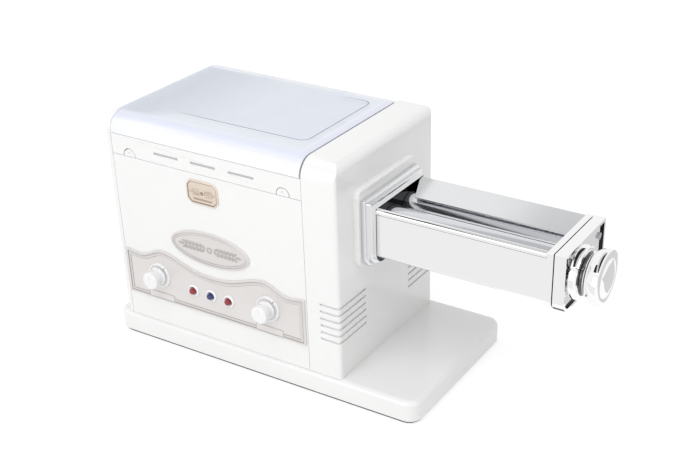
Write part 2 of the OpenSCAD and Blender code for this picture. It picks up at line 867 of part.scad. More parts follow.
module mixing_tub() {
    rim_y1 = rear_roller_y + tub_r + tub_wall + 1.5;
    color("aliceblue") machine() difference() {
        union() {
            intersection() {
                along_x(tub_x0, tub_x1) tub_section(tub_wall);
                block([0, 0, 0], [case_w, case_d, tub_top]);
            }
            // Rim that hangs on the strip at the front.
            block([tub_x0, wall + 1, tub_top - 3], [tub_x1, rim_y1, tub_top]);
        }
        along_x(tub_x0 + tub_wall, tub_x1 - tub_wall) tub_section(0);
        rod_x(tub_x1 - tub_wall - 1, tub_x1 + 1, rear_roller_y, shaft_z, kneader_r + 4);
        rod_x(tub_x0 - 1, tub_x0 + tub_wall + 1, rear_roller_y, shaft_z, kneader_r);
    }
}

// Ring that seals the shaft where it enters the tub.
module shaft_seal() {
    color("darkred") machine() difference() {
        union() {
            rod_x(tub_x1 - tub_wall, bulkhead_x0, rear_roller_y, shaft_z, kneader_r + 4);
            rod_x(tub_x1 - tub_wall - 1.5, tub_x1 - tub_wall, rear_roller_y, shaft_z, kneader_r + 6);
        }
        rod_x(tub_x1 - 9, bulkhead_x0 + 1, rear_roller_y, shaft_z, kneader_r + run_fit);
    }
}

// Bush in the far wall of the tub, with a collar on both sides.
module kneader_bush() {
    color("ivory") machine() difference() {
        union() {
            rod_x(tub_x0 - 1.2, tub_x0 + tub_wall + 1.5, rear_roller_y, shaft_z, kneader_r);
            rod_x(tub_x0 + tub_wall, tub_x0 + tub_wall + 1.5, rear_roller_y, shaft_z, kneader_r + 4);
        }
        rod_x(tub_x0 - 0.2, tub_x0 + 9, rear_roller_y, shaft_z, kneader_r - 2 + run_fit);
    }
}

module kneader_shaft() {
    left = tub_x0 + tub_wall + 1.8;
    color("silver") machine() {
        rod_x(tub_x0, left, rear_roller_y, shaft_z, kneader_r - 2);
        rod_x(left, bulkhead_x0 + 2, rear_roller_y, shaft_z, kneader_r);
    }
}

paddle_t = 6;
paddle_pitch = 24;
paddle_x0 = tub_x0 + tub_wall + 20;
paddle_x1 = tub_x1 - tub_wall - 20;

// Paddles along the shaft, on opposite sides by turns. Each blade is an arm that widens into a
// curved tip, on a hub that fits the shaft.
module paddles() {
    color("silver") machine() for (i = [0 : paddle_count - 1]) {
        x = paddle_x0 + (paddle_x1 - paddle_x0) * i / (paddle_count - 1);
        difference() {
            union() {
                rod_x(x - 7, x + 7, rear_roller_y, shaft_z, kneader_r + 4);
                translate([x, rear_roller_y, shaft_z]) rotate([i % 2 == 0 ? 0 : 180, 0, 0])
                    rotate([0, i % 2 == 0 ? paddle_pitch : -paddle_pitch, 0])
                        linear_extrude(paddle_t, center = true) paddle_blade();
            }
            rod_x(x - 12, x + 12, rear_roller_y, shaft_z, kneader_r);
        }
    }
}

module paddle_blade() {
    tip_r = 17;
    translate([-7, 0]) square([14, paddle_r - tip_r]);
    intersection() {
        translate([0, paddle_r - tip_r - 4]) circle(tip_r + 4);
        translate([-tip_r, 0]) square([2 * tip_r, paddle_r]);
        circle(paddle_r - 1.5);
    }
}

// ---------------------------------------------------------------- drive

module main_shaft() {
    socket = 9;
    color("silver") machine() difference() {
        rod_x(bulkhead_x0 + 2.2, case_w + plinth_t - 1, rear_roller_y, shaft_z, main_shaft_r);
        block([case_w - 8, rear_roller_y - socket / 2, shaft_z - socket / 2],
              [case_w + plinth_t, rear_roller_y + socket / 2, shaft_z + socket / 2]);
    }
}

// Bearings of the main shaft, one in the bulkhead and one behind the plinth.
module main_bearings() {
    color("goldenrod") machine() for (x = [[bulkhead_x0, bulkhead_x0 + bulkhead_t],
                                           [case_w - wall - 1, case_w + plinth_t - 1]])
        difference() {
            rod_x(x[0], x[1], rear_roller_y, shaft_z, main_shaft_r + 4);
            rod_x(x[0] - 1, x[1] + 1, rear_roller_y, shaft_z, main_shaft_r + run_fit);
        }
}

main_aim = aim_at([rear_roller_y, shaft_z], stud_yz);

module main_gear() {
    web_r = gear_main_r - 7;
    color("ivory") machine() difference() {
        union() {
            gear_x(plane_a, plane_a + plane_a_w, rear_roller_y, shaft_z, main_teeth, gear_module,
                   main_aim);
            rod_x(plane_b, plane_a, rear_roller_y, shaft_z, main_shaft_r + 4);
        }
        rod_x(plane_b - 1, plane_a + 20, rear_roller_y, shaft_z, main_shaft_r);
        difference() {
            rod_x(plane_a + 4, plane_a + 20, rear_roller_y, shaft_z, web_r);
            rod_x(plane_a - 1, plane_a + 20, rear_roller_y, shaft_z, main_shaft_r + 5);
            for (a = [0 : 60 : 300]) translate([0, rear_roller_y, shaft_z]) rotate([a, 0, 0])
                block([plane_a, 0, -1.5], [plane_a + 20, web_r + 1, 1.5]);
        }
    }
}

stud_x1 = plane_a + plane_a_w + 2;

module intermediate_stud() {
    color("silver") machine() {
        rod_x(bulkhead_x0, stud_x1, stud_yz[0], stud_yz[1], stud_r);
        rod_x(stud_x1, stud_x1 + 1.2, stud_yz[0], stud_yz[1], stud_r + 2);
    }
}

module intermediate_gear() {
    hub = stud_yz;
    color("wheat") machine() difference() {
        union() {
            gear_x(plane_b, plane_b + plane_b_w, hub[0], hub[1], large_teeth, gear_module,
                   aim_at(hub, [motor_y, motor_z]));
            gear_x(plane_b + plane_b_w, plane_a + plane_a_w, hub[0], hub[1], small_teeth,
                   gear_module, gap_aim(hub, [rear_roller_y, shaft_z], small_teeth));
            rod_x(bulkhead_x0 + bulkhead_t + 0.3, plane_b, hub[0], hub[1], stud_r + 4);
        }
        rod_x(bulkhead_x0, stud_x1 + 1, hub[0], hub[1], stud_r + run_fit);
        for (a = [0 : 60 : 300]) translate([0, hub[0], hub[1]]) rotate([a, 0, 0])
            translate([0, gear_large_r * 0.62, 0]) rod_x(plane_b - 1, plane_a + 20, 0, 0, 7);
    }
}

module motor_pinion() {
    axis = [motor_y, motor_z];
    color("silver") machine() {
        gear_x(plane_b, plane_b + plane_b_w, axis[0], axis[1], pinion_teeth, gear_module,
               gap_aim(axis, stud_yz, pinion_teeth));
        rod_x(bulkhead_x0 - 6, plane_b + plane_b_w, axis[0], axis[1], motor_shaft_r);
    }
}

// Motor under the tub: a can with end bells, its face bolted to the bulkhead, on a cradle.
module motor() {
    x1 = bulkhead_x0;
    color("darkgray") machine() {
        difference() {
            union() {
                rod_x(x1 - motor_l + 12, x1 - 12, motor_y, motor_z, motor_r);
                rod_x(x1 - motor_l, x1 - motor_l + 12, motor_y, motor_z, motor_r - 4);
                rod_x(x1 - 12, x1, motor_y, motor_z, motor_r - 3);
                rod_x(x1 - motor_l - 6, x1 - motor_l, motor_y, motor_z, 9);
                for (x = [x1 - motor_l + 22, x1 - 30])
                    block([x, motor_y - motor_r + 6, base_top],
                          [x + 10, motor_y + motor_r - 6, motor_z - 10]);
            }
            rod_x(x1 - 8, x1 + 1, motor_y, motor_z, motor_shaft_r + run_fit);
            for (a = [0 : 45 : 315]) translate([0, motor_y, motor_z]) rotate([a, 0, 0])
                block([x1 - motor_l + 20, motor_r - 2, -3], [x1 - 40, motor_r + 1, 3]);
        }
    }
}

// Switch that the lid works, under the top of the drive housing.
module lid_switch() {
    color("black") machine()
        block([seam_x + inner_wall, hinge_y - 34, case_top - wall - 14],
              [seam_x + inner_wall + 8, hinge_y - 8, case_top - wall]);
}

// ---------------------------------------------------------------- roller unit

// Stepped plate that seats the unit on the plinth.
module mounting_flange() {
    color("gainsboro") machine() difference() {
        union() {
            along_x(case_w + plinth_t, case_w + plinth_t + 5)
                cradle(casing_y0 - 6, casing_y1 + 6, plate_z0 - 5, casing_z1 + 8, 13);
            along_x(case_w + plinth_t + 5, casing_x0)
                cradle(casing_y0 - 3.5, casing_y1 + 3.5, plate_z0 - 2, casing_z1 + 5, 12);
        }
        rod_x(case_w, casing_x0 + 1, rear_roller_y, shaft_z, journal_r + 5);
        rod_x(case_w + plinth_t + 4, casing_x0 + 1, front_roller_y - nip_travel / 2, shaft_z,
              journal_r + 6);
    }
}

module roller_plate(x0, x1, inset) {
    along_x(x0, x1)
        cradle(casing_y0 + inset, casing_y1 - inset, plate_z0 + inset, casing_z1 - inset, 12 - inset);
}

// Slot in which a carrier slides, centred on the front roller's travel.
module carrier_slot(x0, x1) {
    along_x(x0, x1) translate([front_roller_y - nip_travel / 2, shaft_z])
        square([carrier_w + nip_travel + 2 * carrier_gap, carrier_h + 2 * run_fit], center = true);
}

carrier_w = 2 * journal_r + 10;
carrier_h = 2 * journal_r + 8;
carrier_gap = 0.3;

module inner_plate() {
    color("silver") machine() difference() {
        roller_plate(casing_x0, casing_x0 + plate_t, 0);
        rod_x(casing_x0 - 1, casing_x0 + 9, rear_roller_y, shaft_z, journal_r + run_fit);
        carrier_slot(casing_x0 - 1, casing_x0 + 9);
        tie_rod_holes(casing_x0 - 1, casing_x0 + 9);
    }
}

module end_plate() {
    color("silver") machine() difference() {
        roller_plate(casing_x1, casing_x1 + end_plate_t, 0);
        rod_x(casing_x1 - 1, casing_x1 + 19, rear_roller_y, shaft_z, journal_r + run_fit);
        carrier_slot(casing_x1 - 1, casing_x1 + 19);
        tie_rod_holes(casing_x1 - 1, casing_x1 + 19);
    }
}

// Chromed cap over the roller gears, its face sunk inside a rim.
module end_cap() {
    color("silver") machine() difference() {
        union() {
            roller_plate(cap_x0, cap_x1, 0);
            // Spigot that fits against the end plate and leaves the shadow line.
            roller_plate(casing_x1 + end_plate_t, cap_x0, 1.5);
        }
        roller_plate(casing_x1 + end_plate_t - 1, cap_x1 - cap_sink - cap_face_t, 3.2);
        roller_plate(cap_x1 - cap_sink, cap_x1 + 1, 3);
        rod_x(cap_x0, cap_x1 + 1, front_roller_y, shaft_z, hub_r + run_fit);
        for (p = cap_screw_spots) rod_x(cap_x0, cap_x1 + 1, p[0], p[1], 2);
        // Ring of shallow holes, one for each setting of the knob.
        for (i = [0 : regulator_steps - 1]) translate([0, front_roller_y, shaft_z])
            rotate([i * setting_angle, 0, 0])
                rod_x(cap_x1 - cap_sink - 1.5, cap_x1, 0, regulator_r * 0.65, 1.5);
    }
}

setting_angle = 360 / regulator_steps;
hub_r = 9;
cap_sink = 2;
cap_face_t = 3;
cap_screw_in = [13.5, 11];
cap_screw_down = [12, 14];
cap_screw_spots = [[casing_y0 + cap_screw_in[0], casing_z1 - cap_screw_down[0]],
                   [casing_y1 - cap_screw_in[1], casing_z1 - cap_screw_down[1]]];

module end_cap_screws() {
    color("gray") machine() for (p = cap_screw_spots) {
        rod_x(cap_x1 - cap_sink, cap_x1 - 0.4, p[0], p[1], 3.4);
        rod_x(cap_x1 - cap_sink - cap_face_t, cap_x1 - cap_sink, p[0], p[1], 2);
    }
}

tie_r = 3;
tie_in = sheet_t + tie_r + 0.2;
back_sheet_in = 1.5;
tie_spots = [[casing_y0 + tie_in, casing_z0 + tie_in],
             [casing_y1 - back_sheet_in - tie_in, casing_z0 + tie_in]];

module tie_rod_holes(x0, x1) {
    for (p = tie_spots) rod_x(x0, x1, p[0], p[1], tie_r);
}

module tie_rods() {
    color("silver") machine() tie_rod_holes(casing_x0, casing_x1 + end_plate_t);
}

// Front sheet with its rolled top edge and a bend at the bottom.
module casing_front() {
    y0 = casing_y0;
    color("silver") machine() along_x(casing_x0 + plate_t, casing_x1) {
        translate([y0, casing_z0 + bend_r]) square([sheet_t, casing_z1 - casing_z0 - 2 * bend_r]);
        sheet_bend(y0 + bend_r, casing_z0 + bend_r, -1, -1);
        translate([y0 + bend_r, casing_z0]) square([7, sheet_t]);
        sheet_bend(y0 + bend_r, casing_z1 - bend_r, -1, 1);
        sheet_bend(y0 + bend_r, casing_z1 - bend_r, 1, 1);
        translate([y0 + 2 * bend_r - sheet_t, casing_z1 - bend_r - 2]) square([sheet_t, 2]);
    }
}

// Quarter ring of sheet round (y, z), in the quadrant given by the two signs.
module sheet_bend(y, z, side_y, side_z) {
    intersection() {
        translate([y, z]) difference() {
            circle(bend_r);
            circle(bend_r - sheet_t);
        }
        translate([side_y < 0 ? y - bend_r : y, side_z < 0 ? z - bend_r : z]) square(bend_r);
    }
}

module casing_back() {
    y1 = casing_y1 - back_sheet_in;
    color("silver") machine() along_x(casing_x0 + plate_t, casing_x1) {
        translate([y1 - sheet_t, casing_z0 + bend_r]) square([sheet_t, casing_z1 - casing_z0 - 5 - bend_r]);
        sheet_bend(y1 - bend_r, casing_z0 + bend_r, 1, -1);
        translate([y1 - bend_r - 7, casing_z0]) square([7, sheet_t]);
    }
}

plate_front_y = rear_roller_y - 12;
plate_back_y = casing_y1 - 0.5;

// Satin plate that guides the dough over the rear roller. Its left end is cut at a slant.
module feed_plate() {
    slant = 16;
    color("lightgray") machine() difference() {
        along_x(casing_x0 + plate_t, casing_x1)
            polygon([[plate_front_y, casing_z1 - 6.6], [plate_front_y + 1, casing_z1 - 5.4],
                     [plate_back_y - 2, casing_z1 - 0.6], [plate_back_y, casing_z1 - 1.6],
                     [plate_back_y, casing_z1 - 4.8], [plate_back_y - 1.2, casing_z1 - 4.8],
                     [plate_back_y - 1.2, casing_z1 - 2.2], [plate_back_y - 2.4, casing_z1 - 1.9]]);
        translate([casing_x0, 0, casing_z1 - 20]) linear_extrude(30)
            polygon([[0, plate_front_y - 1], [slant, plate_front_y - 1], [0, plate_back_y + 1]]);
    }
}

// Two blades under the rollers that peel the sheet off, each on its own tie rod.
module scrapers() {
    z = shaft_z - roller_d / 2;
    tips = [front_roller_y + 2, rear_roller_y - 2];
    color("gray") machine() along_x(casing_x0 + plate_t, casing_x1) for (i = [0, 1])
        difference() {
            polygon([[tie_spots[i][0], tie_spots[i][1] + 0.8], [tie_spots[i][0], tie_spots[i][1] - 0.8],
                     [tips[i], z - 1.9], [tips[i], z - 0.8]]);
            translate(tie_spots[i]) circle(tie_r + run_fit);
        }
}

roller_x0 = casing_x0 + plate_t + 0.5;
roller_x1 = casing_x1 - 0.5;
journal_x1 = cap_x1 - cap_sink - cap_face_t - 0.4;

// Driven roller. Its square end fits the socket of the main shaft.
module rear_roller() {
    tang = 8.7;
    color("gainsboro") machine() {
        rod_x(roller_x0, roller_x1, rear_roller_y, shaft_z, roller_d / 2);
        rod_x(case_w + plinth_t - 0.6, journal_x1, rear_roller_y, shaft_z, journal_r);
        block([case_w - 6, rear_roller_y - tang / 2, shaft_z - tang / 2],
              [case_w + plinth_t, rear_roller_y + tang / 2, shaft_z + tang / 2]);
    }
}

module front_roller() {
    color("gainsboro") machine() {
        rod_x(roller_x0, roller_x1, front_roller_y, shaft_z, roller_d / 2);
        rod_x(casing_x0 - 3, journal_x1, front_roller_y, shaft_z, journal_r);
    }
}

gear_x0 = casing_x1 + end_plate_t + 0.5;
gear_x1 = journal_x1 - 0.2;
roller_tip_r = roller_module * (roller_teeth / 2 + 0.9);

module rear_roller_gear() {
    color("dimgray") machine() difference() {
        gear_x(gear_x0, gear_x1, rear_roller_y, shaft_z, roller_teeth, roller_module, 180);
        rod_x(gear_x0 - 1, gear_x1 + 1, rear_roller_y, shaft_z, journal_r);
    }
}

module front_roller_gear() {
    color("dimgray") machine() difference() {
        gear_x(gear_x0, gear_x1, front_roller_y, shaft_z, roller_teeth, roller_module,
               180 / roller_teeth);
        rod_x(gear_x0 - 1, gear_x1 + 1, front_roller_y, shaft_z, journal_r);
    }
}

// Sliding blocks that carry the front roller's journals in the two plates.
module roller_carriers() {
    color("goldenrod") machine() for (x = [[casing_x0, casing_x0 + plate_t],
                                           [casing_x1, casing_x1 + end_plate_t]])
        difference() {
            along_x(x[0], x[1]) translate([front_roller_y, shaft_z])
                square([carrier_w, carrier_h], center = true);
            rod_x(x[0] - 1, x[1] + 1, front_roller_y, shaft_z, journal_r + run_fit);
        }
}

// Regulator shaft through the cap, with the cam that moves the carriers.
module regulator_shaft() {
    color("silver") machine() {
        rod_x(cap_x1 - cap_sink - cap_face_t, knob_x0 - 0.3, front_roller_y, shaft_z, hub_r);
        rod_x(knob_x0 - 0.3, regulator_x1 - 6, front_roller_y, shaft_z, spindle_big_r);
        rod_x(regulator_x1 - 7.5, regulator_x1 - 6, front_roller_y, shaft_z, spindle_big_r + 2);
    }
}

// Springy washers under the head of the shaft, pressed together when the knob is pulled.
module spring_washers() {
    washer_t = 0.4;
    color("gray") machine() for (i = [1 : 3]) difference() {
        rod_x(regulator_x1 - 7.5 - i * washer_t, regulator_x1 - 7.5 - (i - 1) * washer_t - 0.02,
              front_roller_y, shaft_z, spindle_big_r + 2.5);
        rod_x(regulator_x1 - 20, regulator_x1, front_roller_y, shaft_z, spindle_big_r + run_fit);
    }
}

spindle_big_r = 5;

// Chromed knob: base ring, waist, flared body and domed face. Profile in (radius, x).
module regulator_knob() {
    r = regulator_r;
    l = regulator_l;
    color("silver") machine() difference() {
        translate([knob_x0, front_roller_y, shaft_z]) rotate([0, 90, 0]) rotate_extrude() {
            polygon([[spindle_big_r + run_fit, 0], [r - 3, 0], [r - 1.5, 1.5], [r - 1.5, 6.5],
                     [r - 3, 8], [r - 7.5, 9], [r - 7.5, 12], [r - 5, 15], [r - 1.5, 20],
                     [r, 24], [r, l - 2], [r - 1.5, l], [spindle_big_r + 3, l],
                     [spindle_big_r + 3, l - 13], [spindle_big_r + run_fit, l - 13]]);
            translate([0, l - 1.5]) square([spindle_big_r + 3.2, 1.5]);
            intersection() {
                translate([0, l - dome_sphere_r + dome_h]) circle(dome_sphere_r, $fn = 128);
                translate([0, l - 0.1]) square([r * 0.65, dome_h + 1]);
            }
        }
        rotate_index() rod_y(-9, 5, 0, 0, 4);
    }
}

dome_sphere_r = (pow(regulator_r * 0.65, 2) + pow(dome_h, 2)) / (2 * dome_h);

// Place of the index hole on the knob's rim.
module rotate_index() {
    translate([knob_x0 + 19.5, front_roller_y, shaft_z]) rotate([-18, 0, 0])
        translate([0, -regulator_r - 1, 0]) children();
}

// ---------------------------------------------------------------- drawing

base_plate();
base_cover();
rubber_feet();
base_screws();
rear_case();
front_panel();
drive_housing();
slotted_strip();
control_plate();
oval_badge();
crest_plate();
lid();
hinge_pins();
mixing_tub();
shaft_seal();
bulkhead();
motor();
motor_pinion();
intermediate_gear();
intermediate_stud();
main_gear();
main_shaft();
main_bearings();
kneader_shaft();
kneader_bush();
paddles();
control_board();
knob_rings();
speed_control();
timer_control();
speed_knob();
timer_knob();
button_bezels();
button_left();
button_middle();
button_right();
push_switches();
power_inlet();
lid_switch();
case_screws();
mounting_flange();
inner_plate();
end_plate();
end_cap();
end_cap_screws();
casing_front();
casing_back();
feed_plate();
tie_rods();
scrapers();
rear_roller();
front_roller();
rear_roller_gear();
front_roller_gear();
roller_carriers();
regulator_shaft();
regulator_knob();
spring_washers();
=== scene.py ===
"""Looks of a countertop pasta machine: finishes, soft-edged shells, turned knobs and a studio.

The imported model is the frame. Lengths here are in millimetres in the frame's own coordinates,
and become metres where a mesh is made. The rollers lie along +X, the front looks towards -Y and
the machine stands on z = 0.
"""

import json
import logging
import math
from contextlib import contextmanager
from dataclasses import dataclass, field
from enum import Enum
from typing import Callable, Iterator, Sequence

import bpy
from mathutils import Matrix, Vector

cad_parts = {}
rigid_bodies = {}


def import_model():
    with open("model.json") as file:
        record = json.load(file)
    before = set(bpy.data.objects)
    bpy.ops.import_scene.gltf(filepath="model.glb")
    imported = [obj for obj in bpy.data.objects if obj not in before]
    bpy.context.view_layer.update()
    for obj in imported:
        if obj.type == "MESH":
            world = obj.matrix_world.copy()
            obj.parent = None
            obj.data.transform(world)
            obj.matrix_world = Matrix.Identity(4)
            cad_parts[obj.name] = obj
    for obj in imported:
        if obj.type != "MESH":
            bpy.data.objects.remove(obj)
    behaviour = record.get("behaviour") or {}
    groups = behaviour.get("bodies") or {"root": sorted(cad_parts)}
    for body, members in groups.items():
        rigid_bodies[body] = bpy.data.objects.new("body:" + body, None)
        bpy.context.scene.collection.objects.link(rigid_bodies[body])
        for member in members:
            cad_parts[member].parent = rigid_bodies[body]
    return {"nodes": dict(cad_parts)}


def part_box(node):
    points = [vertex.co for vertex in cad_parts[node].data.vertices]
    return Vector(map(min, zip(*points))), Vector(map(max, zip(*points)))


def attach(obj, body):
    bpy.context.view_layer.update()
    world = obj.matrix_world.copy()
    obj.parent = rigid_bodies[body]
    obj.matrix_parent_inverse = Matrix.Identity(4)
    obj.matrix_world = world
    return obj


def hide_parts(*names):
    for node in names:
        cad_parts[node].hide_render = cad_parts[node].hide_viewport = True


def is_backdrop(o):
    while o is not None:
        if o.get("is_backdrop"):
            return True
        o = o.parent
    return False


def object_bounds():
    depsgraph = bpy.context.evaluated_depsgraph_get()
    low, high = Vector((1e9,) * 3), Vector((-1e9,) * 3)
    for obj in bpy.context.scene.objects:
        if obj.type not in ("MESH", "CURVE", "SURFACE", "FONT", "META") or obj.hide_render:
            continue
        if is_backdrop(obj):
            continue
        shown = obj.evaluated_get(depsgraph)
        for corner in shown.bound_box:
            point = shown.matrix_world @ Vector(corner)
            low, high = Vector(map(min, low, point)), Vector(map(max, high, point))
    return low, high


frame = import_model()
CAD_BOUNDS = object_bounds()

MM = 0.001
IMAGE = (700, 463)
SENSOR = 36.0

# The face mark that the finishes read. It darkens faces as painted shade in creases, seams,
# hollows and under the lid, as a painted dark reflection round the chrome knob's waist, and as
# print on ticks, lines and ornament.
SHADE_AND_PRINT = "shade_and_print"

# The shares of a direction that count as along an axis and across it, and the distances, in
# millimetres, at which points touch and at which they become one.
ALONG = 0.9
ACROSS = 0.1
TOUCH = 0.01
WELD = 0.002

log = logging.getLogger("pasta_machine")

Socket = bpy.types.NodeSocket
Node = bpy.types.Node
Tree = bpy.types.NodeTree
Material = bpy.types.Material
Piece = bpy.types.Object
Colour = tuple[float, float, float]
Value = float | Sequence[float]
Test = Callable[[Vector, Vector], bool]
Span = tuple[float, float]
Ring = tuple[float, float, float]
Size = tuple[float, float, float]
Corners = tuple[Size, Size]
Profile = Sequence[tuple[float, float]]


class Slot(Enum):
    """The record's material slots."""

    CASE = "white_case"
    TRIM = "white_trim"
    LID = "clear_lid"
    TUB = "tub"
    PANEL = "panel"
    BRONZE = "bronze"
    CHROME = "chrome"
    SATIN = "satin_steel"
    ROLLER = "roller_steel"
    GEAR_STEEL = "gear_steel"
    ZINC = "plain_steel"
    NYLON = "gear_plastic"
    BEARING = "bearing"
    MOTOR = "motor_can"
    BOARD = "board"
    BLACK = "black_plastic"
    FOOT = "rubber_foot"
    SEAL = "seal"
    COVER = "cover_steel"
    RED = "red_cap"
    BLUE = "blue_cap"


class Axis(Enum):
    """An axis of the frame."""

    X = 0
    Y = 1
    Z = 2


# ------------------------------------------------------------------ node wiring


def set_sockets(node: Node, **inputs: Value) -> None:
    """Sets the values of a node's sockets, with _ for a space in a socket's name."""
    for key, value in inputs.items():
        node.inputs[key.replace("_", " ")].default_value = value


class Wiring:
    """A node tree with short ways to add and join nodes."""

    def __init__(self, tree: Tree) -> None:
        """Starts without the two ends that a group's tree gets.

        Args:
            tree: the tree that the nodes go into.
        """
        self.tree = tree
        self.source: Node | None = None
        self.sink: Node | None = None

    def add(self, kind: str, settings: dict | None = None, **inputs: Value) -> Node:
        """Adds a node.

        Args:
            kind: Blender's name of the node type.
            settings: properties of the node.
            inputs: values of its sockets, with _ for a space in a socket's name.

        Returns:
            The new node.
        """
        node = self.tree.nodes.new(kind)
        for key, value in (settings or {}).items():
            setattr(node, key, value)
        set_sockets(node, **inputs)
        return node

    def join(self, source: Socket, target: Socket) -> None:
        """Links one socket to another."""
        self.tree.links.new(source, target)

    def feed(self, socket: Socket, value: Socket | Value) -> None:
        """Links a socket or sets it.

        Args:
            socket: the input to feed.
            value: the socket that it is linked to, or what it is set to.
        """
        if isinstance(value, Socket):
            self.join(value, socket)
        else:
            socket.default_value = value

    def maths(self, operation: str, first: Socket | float, second: Socket | float) -> Socket:
        """Adds a maths node.

        Args:
            operation: Blender's name of the operation.
            first: a socket or a number.
            second: a socket or a number.

        Returns:
            The socket with the result.
        """
        node = self.add("ShaderNodeMath", {"operation": operation})
        for socket, value in zip(node.inputs, (first, second)):
            self.feed(socket, value)
        return node.outputs[0]

    def vector(self, operation: str, first: Socket | Vector,
               second: Socket | Vector | None = None) -> Socket:
        """Adds a vector maths node.

        Args:
            operation: Blender's name of the operation.
            first: a socket or a Vector.
            second: a socket, a Vector or nothing.

        Returns:
            The socket with the result, which is a number for a length or a dot product.
        """
        node = self.add("ShaderNodeVectorMath", {"operation": operation})
        for socket, value in zip(node.inputs, (first, second)):
            if value is not None:
                self.feed(socket, value)
        return node.outputs["Value" if operation in ("LENGTH", "DOT_PRODUCT") else "Vector"]

    def mix(self, mask: Socket, first: Socket | Colour, second: Socket | Colour) -> Socket:
        """Mixes two colours.

        Args:
            mask: the socket that brings in the second colour.
            first: a socket or a Colour.
            second: a socket or a Colour.

        Returns:
            The socket with the mixed colour.
        """
        node = self.add("ShaderNodeMix", {"data_type": "RGBA"})
        self.join(mask, node.inputs["Factor"])
        for socket, value in ((node.inputs[6], first), (node.inputs[7], second)):
            self.feed(socket, (*value, 1.0) if isinstance(value, tuple) else value)
        return node.outputs[2]

    def ramp(self, value: Socket, start: float, end: float) -> Socket:
        """Adds a mask that rises smoothly between two values of a socket.

        Args:
            value: the socket.
            start: where the mask is 0.
            end: where the mask is 1.

        Returns:
            The socket with the mask.
        """
        node = self.add("ShaderNodeMapRange", {"interpolation_type": "SMOOTHSTEP"},
                        From_Min=start, From_Max=end)
        self.join(value, node.inputs["Value"])
        return node.outputs[0]

    def scaled(self, colour: Socket, factor: Socket) -> Socket:
        """Multiplies a colour by a number.

        Args:
            colour: the socket with the colour.
            factor: the socket with the number.

        Returns:
            The socket with the product.
        """
        node = self.add("ShaderNodeVectorMath", {"operation": "SCALE"})
        self.join(colour, node.inputs[0])
        self.join(factor, node.inputs["Scale"])
        return node.outputs[0]

    def per(self, size: Socket) -> Socket:
        """Gives the scale of a texture whose features have a size in millimetres."""
        return self.maths("DIVIDE", 1.0 / MM, size)

    def noise(self, place: Socket, scale: Socket, detail: float, roughness: float) -> Socket:
        """Adds a noise texture.

        Args:
            place: the socket with the coordinates.
            scale: the socket with the scale.
            detail: how many finer layers it has.
            roughness: how much they count.

        Returns:
            The socket with the value.
        """
        node = self.add("ShaderNodeTexNoise", Detail=detail, Roughness=roughness)
        self.join(place, node.inputs["Vector"])
        self.join(scale, node.inputs["Scale"])
        return node.outputs["Fac"]


def group_tree(name: str, inputs: dict[str, float | Colour], outputs: Sequence[str]) -> Wiring:
    """Starts a shader node group.

    Args:
        name: the group's name.
        inputs: the name and default of each input; a Colour makes a colour socket.
        outputs: the outputs' names; one that starts with Colour is a colour socket.

    Returns:
        The group's wiring, with its input and output nodes in place.
    """
    tree = bpy.data.node_groups.new(name, "ShaderNodeTree")
    face = tree.interface
    face.new_socket("Vector", in_out="INPUT", socket_type="NodeSocketVector")
    for key, value in inputs.items():
        coloured = isinstance(value, tuple)
        kind = "NodeSocketColor" if coloured else "NodeSocketFloat"
        socket = face.new_socket(key, in_out="INPUT", socket_type=kind)
        socket.default_value = (*value, 1.0) if coloured else value
    for key in outputs:
        kind = "NodeSocketColor" if key.startswith("Colour") else "NodeSocketFloat"
        face.new_socket(key, in_out="OUTPUT", socket_type=kind)
    wires = Wiring(tree)
    wires.source = wires.add("NodeGroupInput")
    wires.sink = wires.add("NodeGroupOutput")
    return wires


def tone_group() -> Tree:
    """Cloudy variation of a colour and of how glossy it is, as on any real surface.

    Returns:
        The group.
    """
    wires = group_tree(
        "cloudy_tone",
        {"Colour": (0.8, 0.8, 0.8), "Amount": 0.03, "Size": 40.0, "Gloss": 0.3, "Smudge": 0.05},
        ("Colour", "Roughness"),
    )
    given, finer = wires.source.outputs, 3.1
    scale = wires.per(given["Size"])
    clouds = wires.noise(given["Vector"], scale, 3.0, 0.55)
    smudges = wires.noise(given["Vector"], wires.maths("MULTIPLY", scale, finer), 4.0, 0.6)
    swings = {}
    for noise, amount, level in ((clouds, "Amount", 1.0), (smudges, "Smudge", given["Gloss"])):
        centred = wires.maths("SUBTRACT", noise, 0.5)
        swings[amount] = wires.maths("ADD", wires.maths("MULTIPLY", centred, given[amount]), level)
    wires.join(wires.scaled(given["Colour"], swings["Amount"]), wires.sink.inputs["Colour"])
    wires.join(swings["Smudge"], wires.sink.inputs["Roughness"])
    return wires.tree


def grain_group() -> Tree:
    """Fine grain of a moulding: small even bumps over broad shallow ones.

    Returns:
        The group.
    """
    wires = group_tree("moulded_grain", {"Size": 0.8, "Sink": 0.35}, ("Height",))
    given, broader = wires.source.outputs, 0.02
    scale = wires.per(given["Size"])
    fine = wires.noise(given["Vector"], scale, 2.0, 0.5)
    broad = wires.noise(given["Vector"], wires.maths("MULTIPLY", scale, broader), 1.0, 0.4)
    sunk = wires.maths("MULTIPLY", broad, given["Sink"])
    wires.join(wires.maths("ADD", fine, sunk), wires.sink.inputs["Height"])
    return wires.tree


def brush_group() -> Tree:
    """Lines left by a brush or a lathe. The vector comes squeezed along the lines.

    Returns:
        The group.
    """
    wires = group_tree("brushed_lines", {"Pitch": 0.4}, ("Height",))
    given = wires.source.outputs
    lines = wires.noise(given["Vector"], wires.per(given["Pitch"]), 3.0, 0.7)
    wires.join(lines, wires.sink.inputs["Height"])
    return wires.tree


